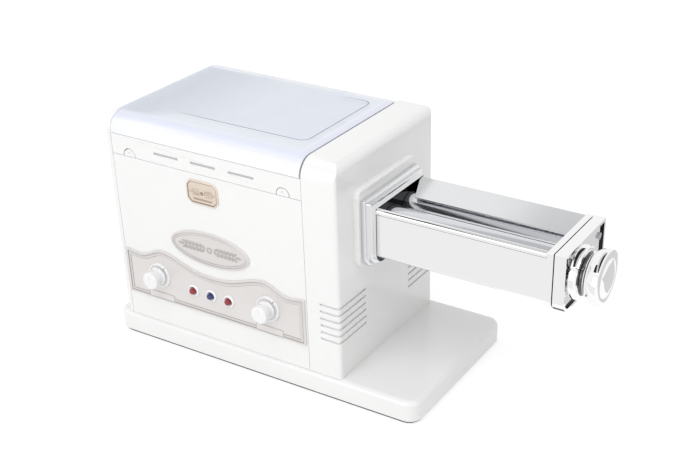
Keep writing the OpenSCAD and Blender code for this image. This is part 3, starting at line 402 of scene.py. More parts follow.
def pearl_group() -> Tree:
    """Small flakes in a metallic paint, as a mask.

    Returns:
        The group.
    """
    wires = group_tree("metal_flakes", {"Size": 0.5}, ("Mask",))
    given = wires.source.outputs
    cells = wires.add("ShaderNodeTexVoronoi", {"feature": "F1"})
    wires.join(given["Vector"], cells.inputs["Vector"])
    wires.join(wires.per(given["Size"]), cells.inputs["Scale"])
    split = wires.add("ShaderNodeSeparateColor")
    wires.join(cells.outputs["Color"], split.inputs[0])
    wires.join(split.outputs[0], wires.sink.inputs["Mask"])
    return wires.tree


GROUPS: dict[str, Tree] = {}


def shared(build: Callable[[], Tree]) -> Tree:
    """Builds a node group the first time that it is asked for.

    Args:
        build: the function that makes the group.

    Returns:
        The group.
    """
    if build.__name__ not in GROUPS:
        GROUPS[build.__name__] = build()
    return GROUPS[build.__name__]


def effect(wires: Wiring, build: Callable[[], Tree], vector: Socket,
           **inputs: float | Colour) -> Node:
    """Places a shared group in a material.

    Args:
        wires: the material's wiring.
        build: the function that makes the group.
        vector: the socket with the coordinates.
        inputs: values of the group's inputs.

    Returns:
        The group node.
    """
    node = wires.add("ShaderNodeGroup", {"node_tree": shared(build)})
    for key, value in inputs.items():
        node.inputs[key].default_value = (*value, 1.0) if isinstance(value, tuple) else value
    wires.join(vector, node.inputs["Vector"])
    return node


# ------------------------------------------------------------------ finishes


@dataclass(frozen=True)
class Finish:
    """What every finish has: a colour that clouds a little, and a gloss that smudges."""

    name: str
    colour: Colour
    roughness: float = 0.3
    mottle: float = 0.03
    patch: float = 45.0
    smudge: float = 0.05
    # The colour that faces with the dark mark mix towards: painted shade in most places, a painted
    # dark reflection on chrome, print on ticks, lines and ornament.
    shade_and_print: Colour | None = None

    def start(self) -> tuple[Material, Wiring, Node, Socket]:
        """Makes the material with its shader and tone.

        Returns:
            The material, its wiring, its Principled shader and the Object coordinates.
        """
        material = bpy.data.materials.new(self.name)
        material.use_nodes = True
        wires = Wiring(material.node_tree)
        shader = material.node_tree.nodes["Principled BSDF"]
        place = wires.add("ShaderNodeTexCoord").outputs["Object"]
        tone = effect(wires, tone_group, place, Colour=self.colour, Amount=self.mottle,
                      Size=self.patch, Gloss=self.roughness, Smudge=self.smudge)
        colour = tone.outputs["Colour"]
        # Marked faces take the dark colour, which serves as painted shade, painted dark reflection
        # and print.
        if self.shade_and_print:
            mark = wires.add("ShaderNodeAttribute", {"attribute_name": SHADE_AND_PRINT})
            colour = wires.mix(mark.outputs["Fac"], colour, self.shade_and_print)
        wires.join(colour, shader.inputs["Base Color"])
        wires.join(tone.outputs["Roughness"], shader.inputs["Roughness"])
        return material, wires, shader, place

    def bump(self, wires: Wiring, shader: Node, height: Socket, depth: float) -> None:
        """Feeds a height to the shader's normal.

        Args:
            wires: the material's wiring.
            shader: its Principled shader.
            height: the socket with the height, from 0 to 1.
            depth: how much the whole height is, in millimetres.
        """
        node = wires.add("ShaderNodeBump", Strength=1.0, Distance=depth * MM)
        wires.join(height, node.inputs["Height"])
        wires.join(node.outputs[0], shader.inputs["Normal"])

    def material(self) -> Material:
        """Builds the finish."""
        return self.start()[0]


@dataclass(frozen=True)
class Moulding(Finish):
    """A plastic or rubber moulding."""

    grain: float = 0.004
    grain_size: float = 0.8
    coat: float = 0.0
    coat_gloss: float = 0.04
    bleed: float = 0.0
    bleed_reach: float = 2.0
    bleed_tint: Colour = (1.0, 0.9, 0.8)

    def material(self) -> Material:
        """Builds the finish with its grain and clear skin.

        Returns:
            The material.
        """
        material, wires, shader, place = self.start()
        grain = effect(wires, grain_group, place, Size=self.grain_size)
        self.bump(wires, shader, grain.outputs["Height"], self.grain)
        set_sockets(shader, Coat_Weight=self.coat, Coat_Roughness=self.coat_gloss)
        if self.bleed:
            set_sockets(shader, Subsurface_Weight=self.bleed,
                        Subsurface_Scale=self.bleed_reach * MM, Subsurface_Radius=self.bleed_tint)
        return material


@dataclass(frozen=True)
class Metal(Finish):
    """A bare or plated metal, with fine lines along an axis or a slow ripple."""

    along: Axis | None = None
    line_squeeze: float = 0.015
    line_pitch: float = 0.4
    line_depth: float = 0.002
    ripple: float = 0.0
    ripple_size: float = 60.0

    def material(self) -> Material:
        """Builds the finish with its brushed lines or its slow ripple.

        Returns:
            The material.
        """
        material, wires, shader, place = self.start()
        set_sockets(shader, Metallic=1.0)
        if self.along is not None:
            squeeze = [1.0, 1.0, 1.0]
            squeeze[self.along.value] = self.line_squeeze
            mapping = wires.add("ShaderNodeMapping", Scale=squeeze)
            wires.join(place, mapping.inputs["Vector"])
            lines = effect(wires, brush_group, mapping.outputs[0], Pitch=self.line_pitch)
            self.bump(wires, shader, lines.outputs["Height"], self.line_depth)
        elif self.ripple:
            swell = effect(wires, grain_group, place, Size=self.ripple_size, Sink=1.0)
            self.bump(wires, shader, swell.outputs["Height"], self.ripple)
        return material


@dataclass(frozen=True)
class Paint(Finish):
    """A satin paint with metal flakes in it."""

    metallic: float = 0.4
    flake: float = 0.04
    flake_size: float = 0.35
    grain: float = 0.004
    grain_size: float = 0.5

    def material(self) -> Material:
        """Builds the paint with its flakes and faint grain.

        Returns:
            The material.
        """
        material, wires, shader, place = self.start()
        set_sockets(shader, Metallic=self.metallic)
        flakes = effect(wires, pearl_group, place, Size=self.flake_size)
        tone = shader.inputs["Base Color"].links[0].from_socket
        shade = wires.maths("ADD", wires.maths("MULTIPLY", flakes.outputs["Mask"], self.flake),
                            1.0 - self.flake / 2)
        wires.join(wires.scaled(tone, shade), shader.inputs["Base Color"])
        grain = effect(wires, grain_group, place, Size=self.grain_size)
        self.bump(wires, shader, grain.outputs["Height"], self.grain)
        return material


@dataclass(frozen=True)
class ClearSheet(Finish):
    """A clear plastic sheet bent down at its front, deeper in colour where it is seen edge on.

    Each span is two places, in millimetres, between which a mask rises from 0 to 1. The bend and
    the back lie along Y, the rim, the left side and the shade along X, and the lip along Z. The
    frame's dark line is painted shade and the pale band outside it is partly a painted highlight;
    both fade along the frame's diagonal, from its middle, towards the back left.
    """

    body: float = 0.4
    rim: float = 0.45
    rim_blend: float = 0.35
    haze: float = 0.06
    haze_size: float = 30.0
    haze_sink: float = 0.5
    skin: float = 0.5
    skin_gloss: float = 0.03
    bend: Colour = (0.6, 0.6, 0.8)
    bend_span: Span = (-58.0, -68.0)
    rim_span: Span = (-29.0, -22.0)
    lip: Colour = (0.9, 0.9, 0.95)
    lip_span: Span = (248.2, 243.0)
    close: float = 0.3
    edge: Colour = (0.82, 0.86, 0.93)
    edge_close: float = 0.06
    back_span: Span = (80.0, 82.5)
    left_span: Span = (-244.0, -246.5)
    shade: Colour = (0.66, 0.70, 0.79)
    shade_span: Span = (-120.0, -236.0)
    frame_middle: Size = (-131.2, 16.75, 0.0)
    frame_half: Size = (96.0, 59.0, 1000.0)
    frame_corner: float = 9.0
    frame_line: Span = (1.3, 0.39)
    frame_edge: float = 1.5
    frame_fade: Span = (-20.0, 30.0)
    # The frame's dark line is painted shade.
    frame_shade_line: Colour = (0.22, 0.25, 0.38)

    def material(self) -> Material:
        """Builds the sheet. Its alpha rises where it is seen at a slant and where it bends.

        Returns:
            The material.
        """
        material, wires, shader, place = self.start()
        split = wires.add("ShaderNodeSeparateXYZ")
        wires.join(place, split.inputs[0])
        spans = {"Y": (self.bend_span, self.back_span), "Z": (self.lip_span,),
                 "X": (self.rim_span, self.left_span, self.shade_span)}
        masks = {span: wires.ramp(split.outputs[axis], *(edge * MM for edge in span))
                 for axis, along in spans.items() for span in along}
        deep = wires.maths("MAXIMUM", masks[self.bend_span], masks[self.rim_span])
        lip = masks[self.lip_span]
        outside, line = self.frame(wires, place)
        beyond = wires.maths("MAXIMUM", masks[self.back_span], masks[self.left_span])
        outside = wires.maths("MAXIMUM", outside, beyond)
        colour = shader.inputs["Base Color"].links[0].from_socket
        # The shade towards the left and the frame's line are painted shade; the pale band outside
        # the frame is partly a painted highlight.
        for mask, tint in ((masks[self.shade_span], self.shade), (outside, self.edge),
                           (deep, self.bend), (lip, self.lip), (line, self.frame_shade_line)):
            colour = wires.mix(mask, colour, tint)
        wires.join(colour, shader.inputs["Base Color"])
        facing = wires.add("ShaderNodeLayerWeight", Blend=self.rim_blend)
        cloud = effect(wires, grain_group, place, Size=self.haze_size, Sink=self.haze_sink)
        total, mark = self.body, wires.add("ShaderNodeAttribute", {"attribute_name": SHADE_AND_PRINT})
        for mask, amount in ((facing.outputs["Facing"], self.rim),
                             (cloud.outputs["Height"], self.haze),
                             (wires.maths("MAXIMUM", deep, lip), self.close),
                             (outside, self.edge_close)):
            total = wires.maths("ADD", total, wires.maths("MULTIPLY", mask, amount))
        # The dark mark, painted shade on the step under the sheet, also makes the sheet opaque
        # there.
        total = wires.maths("MAXIMUM", wires.maths("ADD", total, line), mark.outputs["Fac"])
        wires.join(wires.maths("MINIMUM", total, 1.0), shader.inputs["Alpha"])
        set_sockets(shader, Coat_Weight=self.skin, Coat_Roughness=self.skin_gloss)
        return material

    def frame(self, wires: Wiring, place: Socket) -> tuple[
            Socket, Socket]:
        """The rounded frame moulded into the sheet.

        Args:
            wires: the material's wiring.
            place: the coordinates.

        Returns:
            A mask of what is outside the frame, partly a painted highlight, and a mask of its dark
            line, a painted shade. Both fade towards the back left.
        """
        off = wires.vector("SUBTRACT", place, Vector(self.frame_middle) * MM)
        inner = Vector(self.frame_half) - Vector((self.frame_corner,) * 3)
        past = wires.vector("SUBTRACT", wires.vector("ABSOLUTE", off), inner * MM)
        reach = wires.vector("LENGTH", wires.vector("MAXIMUM", past, Vector((0, 0, 0))))
        gap = wires.maths("SUBTRACT", reach, self.frame_corner * MM)
        near = wires.maths("ABSOLUTE", gap, 0.0)
        line = wires.ramp(near, *(edge * MM for edge in self.frame_line))
        towards = wires.vector("DOT_PRODUCT", off, Vector((1, -1, 0)))
        near_side = wires.ramp(towards, *(edge * MM for edge in self.frame_fade))
        outside = wires.ramp(gap, 0.0, self.frame_edge * MM)
        return (wires.maths("MULTIPLY", outside, near_side),
                wires.maths("MULTIPLY", line, near_side))


# Where a finish has a dark colour for marked faces, it serves as painted shade and as print.
FINISHES: dict[Slot, Finish] = {
    Slot.CASE: Moulding("white_gloss_moulding", (0.82, 0.82, 0.815), 0.20, mottle=0.012,
                        grain=0.0015, grain_size=1.6, coat=0.35, shade_and_print=(0.30, 0.30, 0.31)),
    Slot.TRIM: Moulding("white_trim_moulding", (0.83, 0.825, 0.83), 0.20, mottle=0.012,
                        grain=0.001, grain_size=1.2, coat=0.35, shade_and_print=(0.22, 0.22, 0.24)),
    Slot.LID: ClearSheet("clear_lid_sheet", (0.80, 0.85, 0.93), 0.08, mottle=0.03,
                         bend=(0.68, 0.70, 0.81), lip=(0.86, 0.87, 0.90), body=0.5, rim=0.4,
                         shade_and_print=(0.30, 0.33, 0.40)),
    Slot.TUB: Moulding("tub_moulding", (0.80, 0.83, 0.87), 0.25, mottle=0.02, coat=0.2),
    Slot.PANEL: Paint("satin_silver_paint", (0.70, 0.675, 0.665), 0.36, mottle=0.05,
                      metallic=0.25, shade_and_print=(0.32, 0.30, 0.29)),
    Slot.BRONZE: Metal("satin_bronze", (0.86, 0.76, 0.66), 0.32, mottle=0.16, patch=4.0,
                       along=Axis.X, line_pitch=0.3, line_depth=0.003, shade_and_print=(0.36, 0.27, 0.21)),
    Slot.CHROME: Metal("chrome_plate", (0.91, 0.91, 0.915), 0.04, mottle=0.01, smudge=0.03,
                       ripple=0.012, shade_and_print=(0.02, 0.02, 0.022)),
    Slot.SATIN: Metal("satin_steel", (0.79, 0.80, 0.81), 0.16, along=Axis.X,
                      line_pitch=0.35, line_depth=0.0012),
    Slot.ROLLER: Metal("ground_roller_steel", (0.70, 0.71, 0.74), 0.12, along=Axis.X,
                       line_pitch=0.5, line_depth=0.0008),
    Slot.GEAR_STEEL: Metal("machined_gear_steel", (0.50, 0.51, 0.53), 0.32, along=Axis.X,
                           line_pitch=0.4, line_depth=0.002),
    Slot.ZINC: Metal("zinc_plate", (0.50, 0.51, 0.53), 0.34, mottle=0.14, patch=9.0,
                     ripple=0.02, ripple_size=8.0),
    Slot.NYLON: Moulding("natural_nylon", (0.80, 0.76, 0.64), 0.42, bleed=0.15),
    Slot.BEARING: Metal("sintered_bronze", (0.62, 0.42, 0.20), 0.42, mottle=0.2, patch=3.0,
                        ripple=0.02, ripple_size=1.0),
    Slot.MOTOR: Paint("motor_enamel", (0.16, 0.165, 0.18), 0.42, metallic=0.1, flake=0.02),
    Slot.BOARD: Moulding("circuit_board", (0.03, 0.20, 0.09), 0.3, mottle=0.2, patch=5.0),
    Slot.BLACK: Moulding("black_plastic", (0.02, 0.02, 0.022), 0.45, grain=0.01,
                         grain_size=0.5),
    Slot.FOOT: Moulding("foot_rubber", (0.02, 0.02, 0.02), 0.75, grain=0.02, grain_size=0.6),
    Slot.SEAL: Moulding("seal_rubber", (0.32, 0.05, 0.04), 0.6, grain=0.01),
    Slot.COVER: Paint("cover_paint", (0.05, 0.05, 0.055), 0.5, metallic=0.0, flake=0.02),
    Slot.RED: Moulding("red_button", (0.26, 0.012, 0.016), 0.12, mottle=0.1, patch=2.0,
                       coat=0.6, bleed=0.15, grain=0.0),
    Slot.BLUE: Moulding("blue_button", (0.012, 0.03, 0.14), 0.12, mottle=0.1, patch=2.0,
                        coat=0.6, bleed=0.15, grain=0.0),
}

MATERIALS: dict[Slot, Material] = {}


def material_of(slot: Slot) -> Material:
    """Builds a slot's material the first time that it is asked for.

    Args:
        slot: the material slot.

    Returns:
        The material.
    """
    if slot not in MATERIALS:
        MATERIALS[slot] = FINISHES[slot].material()
    return MATERIALS[slot]


# ------------------------------------------------------------------ the bench


class Select(Enum):
    """What an edit-mode selection picks."""

    EDGES = (False, True, False)
    FACES = (False, False, True)


def box_of(node: str) -> tuple[Vector, Vector]:
    """Lowest and highest corner of a CAD node, in millimetres."""
    low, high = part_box(node)
    return low / MM, high / MM


def deselect_all() -> None:
    """Leaves nothing selected and no object in edit mode."""
    active = bpy.context.view_layer.objects.active
    if active is not None and active.mode != "OBJECT":
        bpy.ops.object.mode_set(mode="OBJECT")
    for piece in bpy.context.view_layer.objects:
        piece.select_set(False)


def everything(middle: Vector, way: Vector) -> bool:
    """Passes all edges or faces."""
    return True


def upright(middle: Vector, way: Vector) -> bool:
    """Passes edges that run along Z."""
    return abs(way.z) > ALONG


def facing_up(middle: Vector, normal: Vector) -> bool:
    """Passes faces that look up."""
    return normal.z > ALONG


def level_at(height: float) -> Test:
    """Makes a test that passes edges that lie level at a height."""
    return lambda middle, way: abs(middle.z - height) < TOUCH and abs(way.z) < ACROSS


def extrude(step: Sequence[float]) -> None:
    """Extrudes what edit mode has selected by a step in metres."""
    bpy.ops.mesh.extrude_region_move(TRANSFORM_OT_translate={"value": step})


class Blank:
    """A mesh on the bench: a primitive that edit-mode operators shape into a piece."""

    def __init__(self, name: str, piece: Piece | None = None) -> None:
        """Names the object and puts its place into its mesh.

        Args:
            name: the piece's name.
            piece: the object, or None for the primitive that was just added.
        """
        self.piece = piece or bpy.context.object
        self.piece.name = name
        self.piece.data.name = name
        self.settle()

    @classmethod
    def block(cls, name: str, low: Sequence[float], high: Sequence[float]) -> "Blank":
        """Adds a cube, scaled to its place.

        Args:
            name: the piece's name.
            low: its lowest corner.
            high: its highest corner.

        Returns:
            The block.
        """
        deselect_all()
        size = Vector(high) - Vector(low)
        middle = (Vector(high) + Vector(low)) / 2
        bpy.ops.mesh.primitive_cube_add(size=1, location=middle * MM, scale=size * MM)
        return cls(name)

    @classmethod
    def turned(cls, name: str, profile: Profile, sides: int = 96,
               ring: bool = False) -> "Blank":
        """Turns a profile round Z: a circle is extruded and scaled from point to point.

        Args:
            name: the piece's name.
            profile: radius and height of each point. A radius of 0 closes the end.
            sides: vertices round the axis.
            ring: True if the last point joins the first one.

        Returns:
            The turned piece, about the Z axis.
        """
        pole = 0.02
        points = [(max(r, pole), z) for r, z in profile]
        if ring:
            points.append(points[0])
        deselect_all()
        radius, height = points[0]
        bpy.ops.mesh.primitive_circle_add(vertices=sides, radius=radius * MM,
                                          location=(0, 0, height * MM))
        blank = cls(name)
        bpy.context.tool_settings.mesh_select_mode = Select.EDGES.value
        with blank.editing():
            bpy.ops.mesh.select_all(action="SELECT")
            for r, z in points[1:]:
                extrude((0, 0, (z - height) * MM))
                ratio = r / radius
                bpy.ops.transform.resize(value=(ratio, ratio, 1), center_override=(0, 0, 0))
                radius, height = r, z
        return blank.merge(2.4 * pole)

    @classmethod
    def strip(cls, name: str, section: Profile, x0: float, x1: float) -> "Blank":
        """Bends a sheet that runs along X: a plane's edge is extruded from point to point.

        Args:
            name: the piece's name.
            section: the (y, z) points that the sheet follows.
            x0: where it starts.
            x1: where it ends.

        Returns:
            The sheet, without a thickness.
        """
        deselect_all()
        spots = [Vector((0, y, z)) for y, z in section]
        run = spots[1] - spots[0]
        middle = (spots[0] + spots[1]) / 2 + Vector(((x0 + x1) / 2, 0, 0))
        bpy.ops.mesh.primitive_plane_add(size=MM)
        blank = cls(name).stretch(x1 - x0, run.length)
        blank.place(Matrix.Translation(middle) @ Matrix.Rotation(math.atan2(run.z, run.y), 4, "X"))
        tip = spots[1]
        blank.pick(Select.EDGES, lambda m, d: abs(d.x) > ALONG
                   and (Vector((0, m.y, m.z)) - tip).length < TOUCH)
        with blank.editing():
            for spot, ahead in zip(spots[1:], spots[2:]):
                extrude((ahead - spot) * MM)
        return blank

    @classmethod
    def disc(cls, name: str, radius: float, height: float, sides: int = 96) -> "Blank":
        """Adds a round slab that stands on z = 0.

        Args:
            name: the piece's name.
            radius: its radius.
            height: its height.
            sides: vertices round it.

        Returns:
            The slab.
        """
        deselect_all()
        bpy.ops.mesh.primitive_cylinder_add(vertices=sides, radius=radius * MM, depth=height * MM,
                                            location=(0, 0, height * MM / 2))
        return cls(name)

    @classmethod
    def skyline(cls, name: str, outline: Profile, height: float) -> "Blank":
        """Makes a slab whose top edge goes up and down.

        Args:
            name: the piece's name.
            outline: x and the width along Y of each place, from left to right.
            height: the slab's thickness along Z.

        Returns:
            The slab, with its straight edge on y = 0.
        """
        (x, y), (ahead, after) = outline[:2]
        deselect_all()
        bpy.ops.mesh.primitive_plane_add(size=MM)
        blank = cls(name).stretch(ahead - x, y)
        blank.place(Matrix.Translation(((x + ahead) / 2, y / 2, 0)))
        blank.pick(Select.EDGES, lambda m, d: abs(m.x - ahead) < TOUCH and abs(d.y) > ALONG)
        with blank.editing():
            bpy.ops.transform.resize(value=(1, after / y, 1), center_override=(ahead * MM, 0, 0))
            for (x, y), (ahead, after) in zip(outline[1:], outline[2:]):
                extrude(((ahead - x) * MM, 0, 0))
                bpy.ops.transform.resize(value=(1, after / y, 1),
                                         center_override=(ahead * MM, 0, 0))
            bpy.ops.mesh.select_all(action="SELECT")
            bpy.ops.mesh.dissolve_faces()
            extrude((0, 0, height * MM))
        return blank.merge()

    @classmethod
    def of_node(cls, node: str, name: str, flat: float) -> "Blank":
        """Copies a CAD node and merges its triangles into whole faces.

        Args:
            node: the CAD node.
            name: the piece's name.
            flat: the most that faces may lean and still be merged, in degrees, or 0 for none.

        Returns:
            The merged copy.
        """
        deselect_all()
        source = frame["nodes"][node]
        piece = bpy.data.objects.new(name, source.data.copy())
        bpy.context.scene.collection.objects.link(piece)
        blank = cls(name, piece)
        with blank.editing():
            bpy.ops.mesh.select_all(action="SELECT")
            bpy.ops.mesh.customdata_custom_splitnormals_clear()
            bpy.ops.mesh.remove_doubles(threshold=WELD * MM)
            if flat:
                bpy.ops.mesh.dissolve_limited(angle_limit=math.radians(flat))
        return blank

    def choose(self) -> None:
        """Makes this the active piece and the only one selected."""
        deselect_all()
        bpy.context.view_layer.objects.active = self.piece
        self.piece.select_set(True)

    @contextmanager
    def editing(self) -> Iterator[None]:
        """Holds the piece in edit mode."""
        self.choose()
        bpy.ops.object.mode_set(mode="EDIT")
        yield
        bpy.ops.object.mode_set(mode="OBJECT")

    def settle(self) -> "Blank":
        """Moves the object's place, turn and size into its mesh.

        Returns:
            This blank.
        """
        self.choose()
        bpy.ops.object.transform_apply(location=True, rotation=True, scale=True)
        return self

    def merge(self, distance: float = WELD) -> "Blank":
        """Merges what lies close together and turns the faces outwards.

        Args:
            distance: vertices closer than this become one.

        Returns:
            This blank.
        """
        with self.editing():
            bpy.ops.mesh.select_all(action="SELECT")
            bpy.ops.mesh.remove_doubles(threshold=distance * MM)
            bpy.ops.mesh.normals_make_consistent(inside=False)
        return self

    def pick(self, kind: Select, test: Test) -> None:
        """Selects edges or faces by place and direction.

        Args:
            kind: edges or faces.
            test: takes the middle, in millimetres, and the direction or normal.
        """
        bpy.context.tool_settings.mesh_select_mode = kind.value
        mesh = self.piece.data
        for parts in (mesh.vertices, mesh.edges, mesh.polygons):
            parts.foreach_set("select", [False] * len(parts))
        for part in (mesh.edges if kind is Select.EDGES else mesh.polygons):
            if kind is Select.EDGES:
                a, b = (mesh.vertices[i].co for i in part.vertices)
                middle, way = (a + b) / 2, (b - a).normalized()
            else:
                middle, way = part.center, part.normal
            if test(middle / MM, way):
                part.select = True
                for i in part.vertices:
                    mesh.vertices[i].select = True

    def bevel(self, edge_test: Test, width: float, steps: int) -> "Blank":
        """Rounds some edges.

        Args:
            edge_test: passes the edges to round, by their middle and direction.
            width: how wide the rounding is.
            steps: how many faces go round it.

        Returns:
            This blank.
        """
        self.pick(Select.EDGES, edge_test)
        with self.editing():
            bpy.ops.mesh.bevel(offset=width * MM, segments=steps, affect="EDGES",
                               clamp_overlap=True)
        return self

    def mark_shade_and_print(self, amount: float = 1.0, face_test: Test = everything) -> "Blank":
        """Marks faces dark, for the finish to read: painted shade in most places, print on ticks,
        lines and ornament.

        Args:
            amount: how dark they are painted, up to 1.
            face_test: passes the faces to mark, by their middle and normal.

        Returns:
            This blank.
        """
        self.pick(Select.FACES, face_test)
        self.open_mark()
        with self.editing():
            self.mark(amount)
        return self

    def open_mark(self) -> None:
        """Gives the mesh its dark mark, for painted shade and print, one value for each face."""
        bpy.context.view_layer.objects.active = self.piece
        if SHADE_AND_PRINT not in self.piece.data.attributes:
            bpy.ops.geometry.attribute_add(name=SHADE_AND_PRINT, domain="FACE", data_type="FLOAT")

    def mark(self, amount: float) -> None:
        """Gives the faces that edit mode has selected their mark.

        Args:
            amount: how dark they are painted, up to 1.
        """
        marks = self.piece.data.attributes
        marks.active = marks[SHADE_AND_PRINT]
        bpy.ops.mesh.attribute_set(value_float=amount)

    def press(self, rings: Sequence[Ring], middle: float = 0.0) -> "Blank":
        """Presses a border into the top: it is inset again and again, each time to a new level.

        Args:
            rings: for each ring its width, how far its inner edge rises, and how dark it is
                painted, as shade along the border.
            middle: how dark the field inside the last ring is painted.

        Returns:
            This blank.
        """
        self.pick(Select.FACES, facing_up)
        self.open_mark()
        with self.editing():
            for width, rise, amount in rings:
                self.mark(amount)
                bpy.ops.mesh.inset(thickness=width * MM, depth=rise * MM, use_even_offset=True)
            self.mark(middle)
        return self

    def stretch(self, x: float, y: float, z: float = 1.0) -> "Blank":
        """Scales the mesh about the origin.

        Args:
            x: factor along X.
            y: factor along Y.
            z: factor along Z.

        Returns:
            This blank.
        """
        with self.editing():
            bpy.ops.mesh.select_all(action="SELECT")
            bpy.ops.transform.resize(value=(x, y, z), center_override=(0, 0, 0))
        return self

    def spread(self, places: Sequence[Matrix]) -> "Blank":
        """Copies the mesh to each place and makes one piece of the copies.

        Args:
            places: a matrix for each copy, in millimetres.

        Returns:
            This blank, which is now all the copies.
        """
        copies = []
        for place in places:
            copy = self.piece.copy()
            copy.data = self.piece.data.copy()
            bpy.context.scene.collection.objects.link(copy)
            copies.append(Blank(self.piece.name, copy).place(place))
        first, *others = copies
        bpy.data.objects.remove(self.piece)
        self.piece = first.piece
        return self.join(*others)

    def join(self, *others: "Blank") -> "Blank":
        """Takes other blanks into this piece.

        Args:
            others: the blanks, which are used up.

        Returns:
            This blank.
        """
        name = self.piece.name
        deselect_all()
        for blank in (self, *others):
            blank.piece.select_set(True)
        bpy.context.view_layer.objects.active = self.piece
        bpy.ops.object.join()
        self.piece.name = name
        return self

    def drill(self, cutter: "Blank") -> "Blank":
        """Cuts another blank's shape out of this piece.

        Args:
            cutter: the other blank, which is used up.

        Returns:
            This blank.
        """
        self.modify("BOOLEAN", operation="DIFFERENCE", solver="EXACT", object=cutter.piece)
        bpy.data.objects.remove(cutter.piece)
        return self

    def modify(self, kind: str, **settings: object) -> "Blank":
        """Adds a modifier and applies it.

        Args:
            kind: Blender's name of the modifier type.
            settings: the modifier's properties.

        Returns:
            This blank.
        """
        self.choose()
        modifier = self.piece.modifiers.new(kind.lower(), kind)
        for key, value in settings.items():
            setattr(modifier, key, value)
        bpy.ops.object.modifier_apply(modifier=modifier.name)
        return self

    def soften(self, width: float, steps: int, sharper_than: float = 28.0) -> "Blank":
        """Rounds every sharp edge.

        Args:
            width: how wide the rounding is.
            steps: how many faces go round it.
            sharper_than: the angle in degrees from which an edge counts as sharp.

        Returns:
            This blank.
        """
        return self.modify("BEVEL", width=width * MM, segments=steps, limit_method="ANGLE",
                           angle_limit=math.radians(sharper_than), use_clamp_overlap=True,
                           miter_outer="MITER_ARC")

    def thicken(self, thickness: float, offset: float) -> "Blank":
        """Gives a sheet its thickness, to one side or the other."""
        return self.modify("SOLIDIFY", thickness=thickness * MM, offset=offset,
                           use_even_offset=True)

    def place(self, matrix: Matrix) -> "Blank":
        """Turns and moves the mesh.

        Args:
            matrix: the turn and the move, in millimetres.

        Returns:
            This blank.
        """
        scaled = matrix.copy()
        scaled.translation = matrix.translation * MM
        self.piece.matrix_world = scaled
        bpy.context.view_layer.update()
        return self.settle()

    def smooth(self, angle: float, flats: bool = True) -> "Blank":
        """Shades the piece smooth.

        Args:
            angle: faces that meet at more than this, in degrees, keep a sharp edge.
            flats: True to keep big faces flat up to their edges.

        Returns:
            This blank.
        """
        self.choose()
        bpy.ops.object.shade_smooth_by_angle(angle=math.radians(angle))
        if flats:
            self.modify("WEIGHTED_NORMAL", keep_sharp=True, weight=100)
        return self

    def hand_over(self, body: str, slot: Slot, *nodes: str) -> None:
        """Dresses the piece and makes it ride in the place of CAD nodes.

        Args:
            body: the CAD body that it rides on.
            slot: its material slot.
            nodes: the CAD nodes that it stands for.
        """
        self.piece.data.materials.clear()
        self.piece.data.materials.append(material_of(slot))
        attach(self.piece, body)
        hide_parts(*nodes)
        log.info("%s rides on %s for %s", self.piece.name, body, ", ".join(nodes))


def turn_to(axis: Axis, forward: bool = True) -> Matrix:
    """Finds the turn that brings +Z onto an axis.

    Args:
        axis: the axis that +Z lands on.
        forward: False for the axis's negative side.

    Returns:
        A rotation matrix.
    """
    ways = {Axis.X: Vector((1, 0, 0)), Axis.Y: Vector((0, 1, 0)), Axis.Z: Vector((0, 0, 1))}
    way = ways[axis] if forward else -ways[axis]
    return way.to_track_quat("Z", "Y").to_matrix().to_4x4()


# ------------------------------------------------------------------ sub-assemblies


